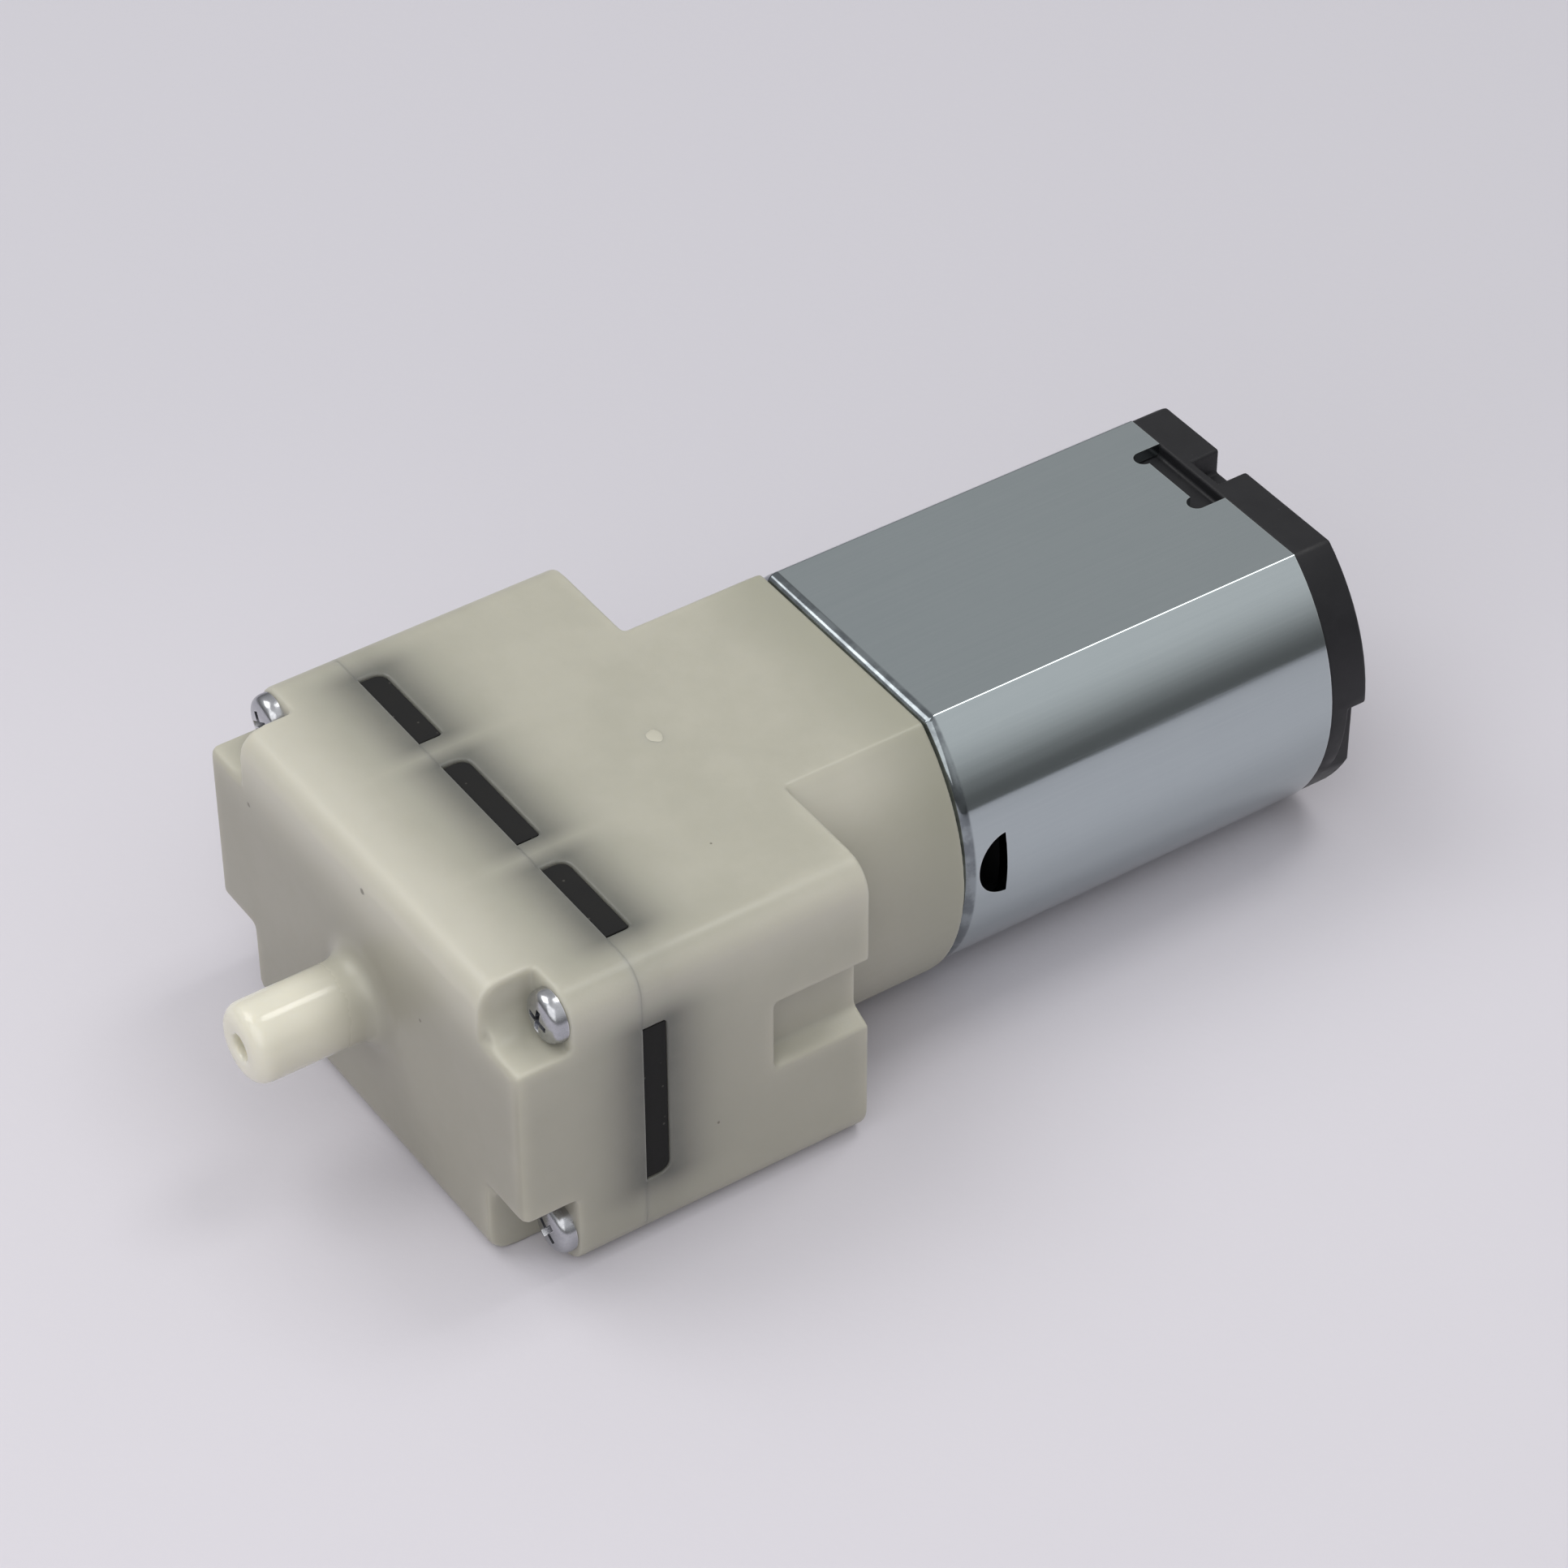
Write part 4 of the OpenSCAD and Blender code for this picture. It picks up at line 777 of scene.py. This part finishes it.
    # The screw is laid along the pump, head to the front, and set on each seat with its own turn
    laid = put(tree, "GeometryNodeTransform", {"Geometry": whole.outputs[0], "Rotation": (math.pi / 2, 0, 0)})
    turn = put(tree, "GeometryNodeInputNamedAttribute", {"Name": "turn"}, data_type="FLOAT").outputs[0]
    turn = put(tree, "ShaderNodeCombineXYZ", {1: turn}).outputs[0]
    spin = put(tree, "FunctionNodeEulerToRotation", {0: turn})
    placed = put(tree, "GeometryNodeInstanceOnPoints", {
        "Points": given["Seats"], "Instance": laid.outputs[0], "Rotation": spin.outputs[0]})
    solid = put(tree, "GeometryNodeRealizeInstances", {0: placed.outputs[0]})
    coated = put(tree, "GeometryNodeSetMaterial", {"Geometry": solid.outputs[0], "Material": given["Finish"]})
    tree.links.new(coated.outputs[0], out[0])
    return tree


def seatMesh(name, seats, turns):
    mesh = bpy.data.meshes.new(name)
    mesh.from_pydata(seats, [], [])
    mesh.attributes.new("turn", "FLOAT", "POINT").data.foreach_set("value", [math.radians(t) for t in turns])
    return mesh


screwTree = makeScrewTree()
coverScrewSet = {
    "turns": (24, 61, 38, 10),  # degrees that each cross is turned
    "seatDepth": 0.68 * mm,  # from the head's front to its seat
    "headRadius": 1.025 * mm,  # in the CAD
    "sizes": {"Head Radius": 1.02 * mm, "Head Height": 0.66 * mm, "Shank Radius": 0.45 * mm,
              "Thread Pitch": 0.36 * mm, "Thread Depth": 0.07 * mm, "Slot Length": 1.25 * mm,
              "Slot Width": 0.3 * mm, "Slot Depth": 0.42 * mm},
}
motorScrewSet = {
    "turns": (15, 52),
    "seatDepth": 0.8 * mm,
    "headRadius": 1.2 * mm,
    "sizes": {"Head Radius": 1.19 * mm, "Head Height": 0.78 * mm, "Shank Radius": 0.79 * mm,
              "Thread Pitch": 0.35 * mm, "Thread Depth": 0.12 * mm, "Slot Length": 1.5 * mm,
              "Slot Width": 0.34 * mm, "Slot Depth": 0.45 * mm},
}


def makeScrews(name, node, chosen, inTwoRows):
    low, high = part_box(node)
    radius = chosen["headRadius"]
    rows = (low.z + radius, high.z - radius) if inTwoRows else ((low.z + high.z) / 2,)
    seats = [(x, low.y + chosen["seatDepth"], z) for x in (low.x + radius, high.x - radius) for z in rows]
    sizes = dict(chosen["sizes"])
    sizes["Shank Length"] = high.y - low.y - chosen["seatDepth"]
    sizes["Finish"] = finishes["screwSteel"]
    piece = runTree(name, seatMesh(name + "Seats", seats, chosen["turns"]), screwTree, sizes)
    finishPiece(piece, "screwSteel", "screw_steel", "pump_body", node, smoothAngle=38)


makeScrews("coverScrews", "cover_screws", coverScrewSet, inTwoRows=True)
makeScrews("motorScrews", "motor_screws", motorScrewSet, inTwoRows=False)
print("screws made")


# Coils of wire: each turn is a rounded loop round its pole, in rings from the pole out and layers along it
def makeCoilTree():
    tree, given, out = startGroup("woundCoils", [
        ("Seats", "Geometry", None), ("Wire Radius", "Float", 0.1), ("Corner Radius", "Float", 0.3),
        ("Finish", "Material", None)], [("Coils", "Geometry")], "GeometryNodeTree")
    loop = put(tree, "GeometryNodeCurvePrimitiveQuadrilateral", {"Width": 1.0, "Height": 1.0}).outputs[0]
    size = put(tree, "GeometryNodeInputNamedAttribute", {"Name": "size"}, data_type="FLOAT_VECTOR").outputs[0]
    turn = put(tree, "GeometryNodeInputNamedAttribute", {"Name": "turn"}, data_type="FLOAT").outputs[0]
    turn = put(tree, "ShaderNodeCombineXYZ", {1: turn}).outputs[0]
    spin = put(tree, "FunctionNodeEulerToRotation", {0: turn})
    loops = put(tree, "GeometryNodeInstanceOnPoints", {
        "Points": given["Seats"], "Instance": loop, "Rotation": spin.outputs[0], "Scale": size})
    loops = put(tree, "GeometryNodeRealizeInstances", {0: loops.outputs[0]}).outputs[0]
    rounded = put(tree, "GeometryNodeFilletCurve", {
        "Curve": loops, "Radius": given["Corner Radius"], "Count": 4, "Limit Radius": True}, mode="POLY")
    wire = put(tree, "GeometryNodeCurvePrimitiveCircle", {"Resolution": 6, "Radius": given["Wire Radius"]})
    wound = put(tree, "GeometryNodeCurveToMesh", {
        "Curve": rounded.outputs[0], "Profile Curve": wire.outputs[0]}).outputs[0]
    solid = put(tree, "GeometryNodeRealizeInstances", {0: wound}).outputs[0]
    coated = put(tree, "GeometryNodeSetMaterial", {"Geometry": solid, "Material": given["Finish"]})
    tree.links.new(coated.outputs[0], out[0])
    return tree


coilSet = {
    "wire": 0.2 * mm,  # thickness
    "corner": 0.35 * mm,
    "bore": 1.9 * mm,  # from the shaft's axis to the innermost layer
    "pole": 0.78 * mm,  # half the width of a pole, with its varnish
    "reach": 27,  # degrees that a coil spans to each side of its pole
    "overhang": 1.3 * mm,  # of the coils past each end of the stack
    "poles": (0, 120, 240),
}


def coilSeats():
    low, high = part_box("windings")
    shaftLow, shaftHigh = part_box("motor_shaft")
    axisZ = (shaftLow.z + shaftHigh.z) / 2
    middleY = (low.y + high.y) / 2
    wire = coilSet["wire"]
    outer = high.z - axisZ
    seats, sizes, turns = [], [], []
    for pole in coilSet["poles"]:
        angle = math.radians(pole)
        for layer in range(int((outer - coilSet["bore"]) / wire)):
            radius = coilSet["bore"] + wire * (layer + 0.5)
            # Each layer is as wide as its sector of the rotor, and stays inside the rotor's round
            inSector = radius * math.tan(math.radians(coilSet["reach"]))
            widest = min(inSector, math.sqrt(outer ** 2 - radius ** 2))
            for ring in range(int((widest - coilSet["pole"]) / wire)):
                out = wire * (ring + 0.5)
                halfLength = (high.y - low.y) / 2 - coilSet["overhang"] + out
                seats.append((radius * math.sin(angle), middleY, axisZ + radius * math.cos(angle)))
                sizes += [2 * (coilSet["pole"] + out), 2 * halfLength, 1]
                turns.append(pole)
    mesh = seatMesh("coilSeats", seats, turns)
    mesh.attributes.new("size", "FLOAT_VECTOR", "POINT").data.foreach_set("vector", sizes)
    return mesh


def makeCoils():
    sizes = {"Wire Radius": coilSet["wire"] / 2, "Corner Radius": coilSet["corner"],
             "Finish": finishes["copper"]}
    piece = runTree("windingCoils", coilSeats(), makeCoilTree(), sizes)
    finishPiece(piece, "copper", "copper", "rotor", "windings", smoothAngle=62)
    print("wire faces:", len(piece.data.polygons))


makeCoils()

carriedOver = {
    # CAD node whose shape is right as it is: its finish
    "outlet_valve": "rubber", "inlet_valves": "rubber", "valve_plate": "innerPlastic",
    "diaphragm_holder": "innerPlastic", "swing_yoke": "innerPlastic", "drive_pin": "plainSteel",
    "eccentric_crank": "innerPlastic", "front_bearing": "bronze", "rear_bearing": "bronze",
    "magnets": "ferrite", "magnet_spring": "plainSteel", "motor_shaft": "plainSteel",
    "thrust_washers": "washerPlastic", "armature_core": "coreSteel",
    "commutator": "commutatorPlastic", "commutator_bars": "contactBrass", "brushes": "contactBrass",
    "terminals": "contactBrass",
}
for node, finish in carriedOver.items():
    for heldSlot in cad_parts[node].material_slots:
        heldSlot.material = finishes[finish]
print("carried-over nodes finished:", len(carriedOver))

# Stage, light and camera
floorSet = {
    "size": 1.6,  # m
    "far": srgb(203, 201, 208),
    "near": srgb(213, 210, 217),
    "turn": (0.84, -0.54, 0),  # the way it gets paler under a painted pool of light
    "fade": (-38.0, 2.0),  # mm that way from the part's middle over which it does
    "grain": {"Grain Size": 0.4, "Patch Size": 30.0},  # mm
    "grainDepth": 0.01,  # mm
    "patchShare": 0.12,  # of the far colour in the patches
}


def makeFloor():
    half = floorSet["size"] / 2
    mesh = bpy.data.meshes.new("floor")
    corners = [(-half, -half, 0), (half, -half, 0), (half, half, 0), (-half, half, 0)]
    mesh.from_pydata(corners, [], [(0, 1, 2, 3)])
    floor = linkPiece("floor", mesh)
    material, tree, shader, place = startFinish("palePaper", {"IOR": 1.4, "Roughness": 0.85})
    grain, patches = useGroup(tree, grainGroup, {"Vector": place, **floorSet["grain"]}).outputs
    # Painted light: the floor turns paler towards the front
    forward = put(tree, "ShaderNodeVectorMath", {
        0: place, 1: floorSet["turn"]}, operation="DOT_PRODUCT").outputs["Value"]
    paintedLightShare = remap(tree, forward, *floorSet["fade"])
    tint = mixColour(tree, paintedLightShare, floorSet["far"], floorSet["near"])
    farShare = calc(tree, "MULTIPLY", patches, floorSet["patchShare"])
    tree.links.new(mixColour(tree, farShare, tint, floorSet["far"]), shader.inputs["Base Color"])
    feedBump(tree, shader, grain, floorSet["grainDepth"])
    mesh.materials.append(material)


roomSet = {
    "low": 0.15,  # brightness at the horizon, seen as the dark band in the can
    "middle": 0.50,
    "high": 0.56,
    "lowHeights": (0.02, 0.62),  # sines of the heights over which it grows from low to middle,
    "highHeights": (0.6, 1.0),  # and from middle to high
    "glow": 0.30,  # the paler side of the room, seen as the can's silver band
    "glowTowards": (0.72, 0.35, 0.6),
    "glowSpread": (0.5, 0.98),  # how near that direction it starts, and is full
    "glowHeights": (0.05, 0.6),
    "tint": (0.985, 0.99, 1.0),
}


def makeWorld():
    world = bpy.data.worlds.new("softRoom")
    bpy.context.scene.world = world
    world.use_nodes = True
    tree = world.node_tree
    direction = put(tree, "ShaderNodeTexCoord").outputs["Generated"]
    height = put(tree, "ShaderNodeSeparateXYZ", {0: direction}).outputs[2]
    low = remap(tree, height, *roomSet["lowHeights"], roomSet["low"], roomSet["middle"])
    high = remap(tree, height, *roomSet["highHeights"], 0.0, roomSet["high"] - roomSet["middle"])
    side = put(tree, "ShaderNodeVectorMath", {
        0: direction, 1: roomSet["glowTowards"]}, operation="DOT_PRODUCT").outputs["Value"]
    glow = calc(tree, "MULTIPLY", remap(tree, side, *roomSet["glowSpread"]),
                remap(tree, height, *roomSet["glowHeights"]))
    glow = calc(tree, "MULTIPLY", glow, roomSet["glow"])
    strength = calc(tree, "ADD", calc(tree, "ADD", low, high), glow)
    background = tree.nodes["Background"]
    background.inputs["Color"].default_value = (*roomSet["tint"], 1)
    tree.links.new(strength, background.inputs["Strength"])


lampSet = {
    # name: direction it stands in, distance and size in m, share of the floor's light, tint
    "ceilingLamp": {"towards": (-0.02, 0.42, 0.907), "distance": 0.5, "size": (0.13, 0.20), "share": 0.14,
                    "tint": (1.0, 0.99, 0.97)},
    "leftLamp": {"towards": (-0.40, -0.36, 0.84), "distance": 0.45, "size": (0.26, 0.26), "share": 0.24,
                 "tint": (1.0, 0.99, 0.98)},
    "frontLamp": {"towards": (0.42, -0.66, 0.66), "distance": 0.34, "size": (0.32, 0.32), "share": 0.22,
                  "tint": (1.0, 0.995, 0.985)},
}


def makeLamps():
    for name, values in lampSet.items():
        lamp = bpy.data.lights.new(name, "AREA")
        lamp.shape = "RECTANGLE"
        lamp.size, lamp.size_y = values["size"]
        direction = Vector(values["towards"]).normalized()
        # Power at which this lamp alone lights a white floor to its share of full white
        lamp.energy = values["share"] * (math.pi * values["distance"]) ** 2 / direction.z
        lamp.color = values["tint"]
        holder = bpy.data.objects.new(name, lamp)
        bpy.context.scene.collection.objects.link(holder)
        holder.location = direction * values["distance"]
        holder.rotation_mode = "QUATERNION"
        holder.rotation_quaternion = direction.to_track_quat("Z", "Y")


cameraSet = {
    "lens": 121.37,  # mm, on a 36 mm wide sensor
    "azimuth": 57.30,  # degrees, 0 looks along the pump from the nipple's side
    "elevation": 41.56,
    "roll": -1.085,
    "distance": 193.26 * mm,
    "target": (0, -3.675 * mm, 6 * mm),
    "shift": (0.0544, 0.0437),  # the photograph's framing
}


def makeCamera():
    camera = bpy.data.objects.new("camera", bpy.data.cameras.new("camera"))
    bpy.context.scene.collection.objects.link(camera)
    camera.data.lens = cameraSet["lens"]
    camera.data.sensor_width = 36
    camera.data.clip_start = 5 * mm
    camera.data.shift_x, camera.data.shift_y = cameraSet["shift"]
    azimuth, elevation, roll = (math.radians(cameraSet[k]) for k in ("azimuth", "elevation", "roll"))
    back = Vector((math.sin(azimuth) * math.cos(elevation), -math.cos(azimuth) * math.cos(elevation),
                   math.sin(elevation)))
    level = Vector((0, 0, 1)).cross(back).normalized()
    upright = back.cross(level)
    right = level * math.cos(roll) + upright * math.sin(roll)
    up = upright * math.cos(roll) - level * math.sin(roll)
    camera.matrix_world = Matrix.LocRotScale(
        Vector(cameraSet["target"]) + back * cameraSet["distance"],
        Matrix((right, up, back)).transposed().to_quaternion(), None)
    bpy.context.scene.camera = camera


makeFloor()
makeWorld()
makeLamps()
makeCamera()
bpy.context.scene.view_settings.view_transform = "Standard"
print("stage, light and camera made")
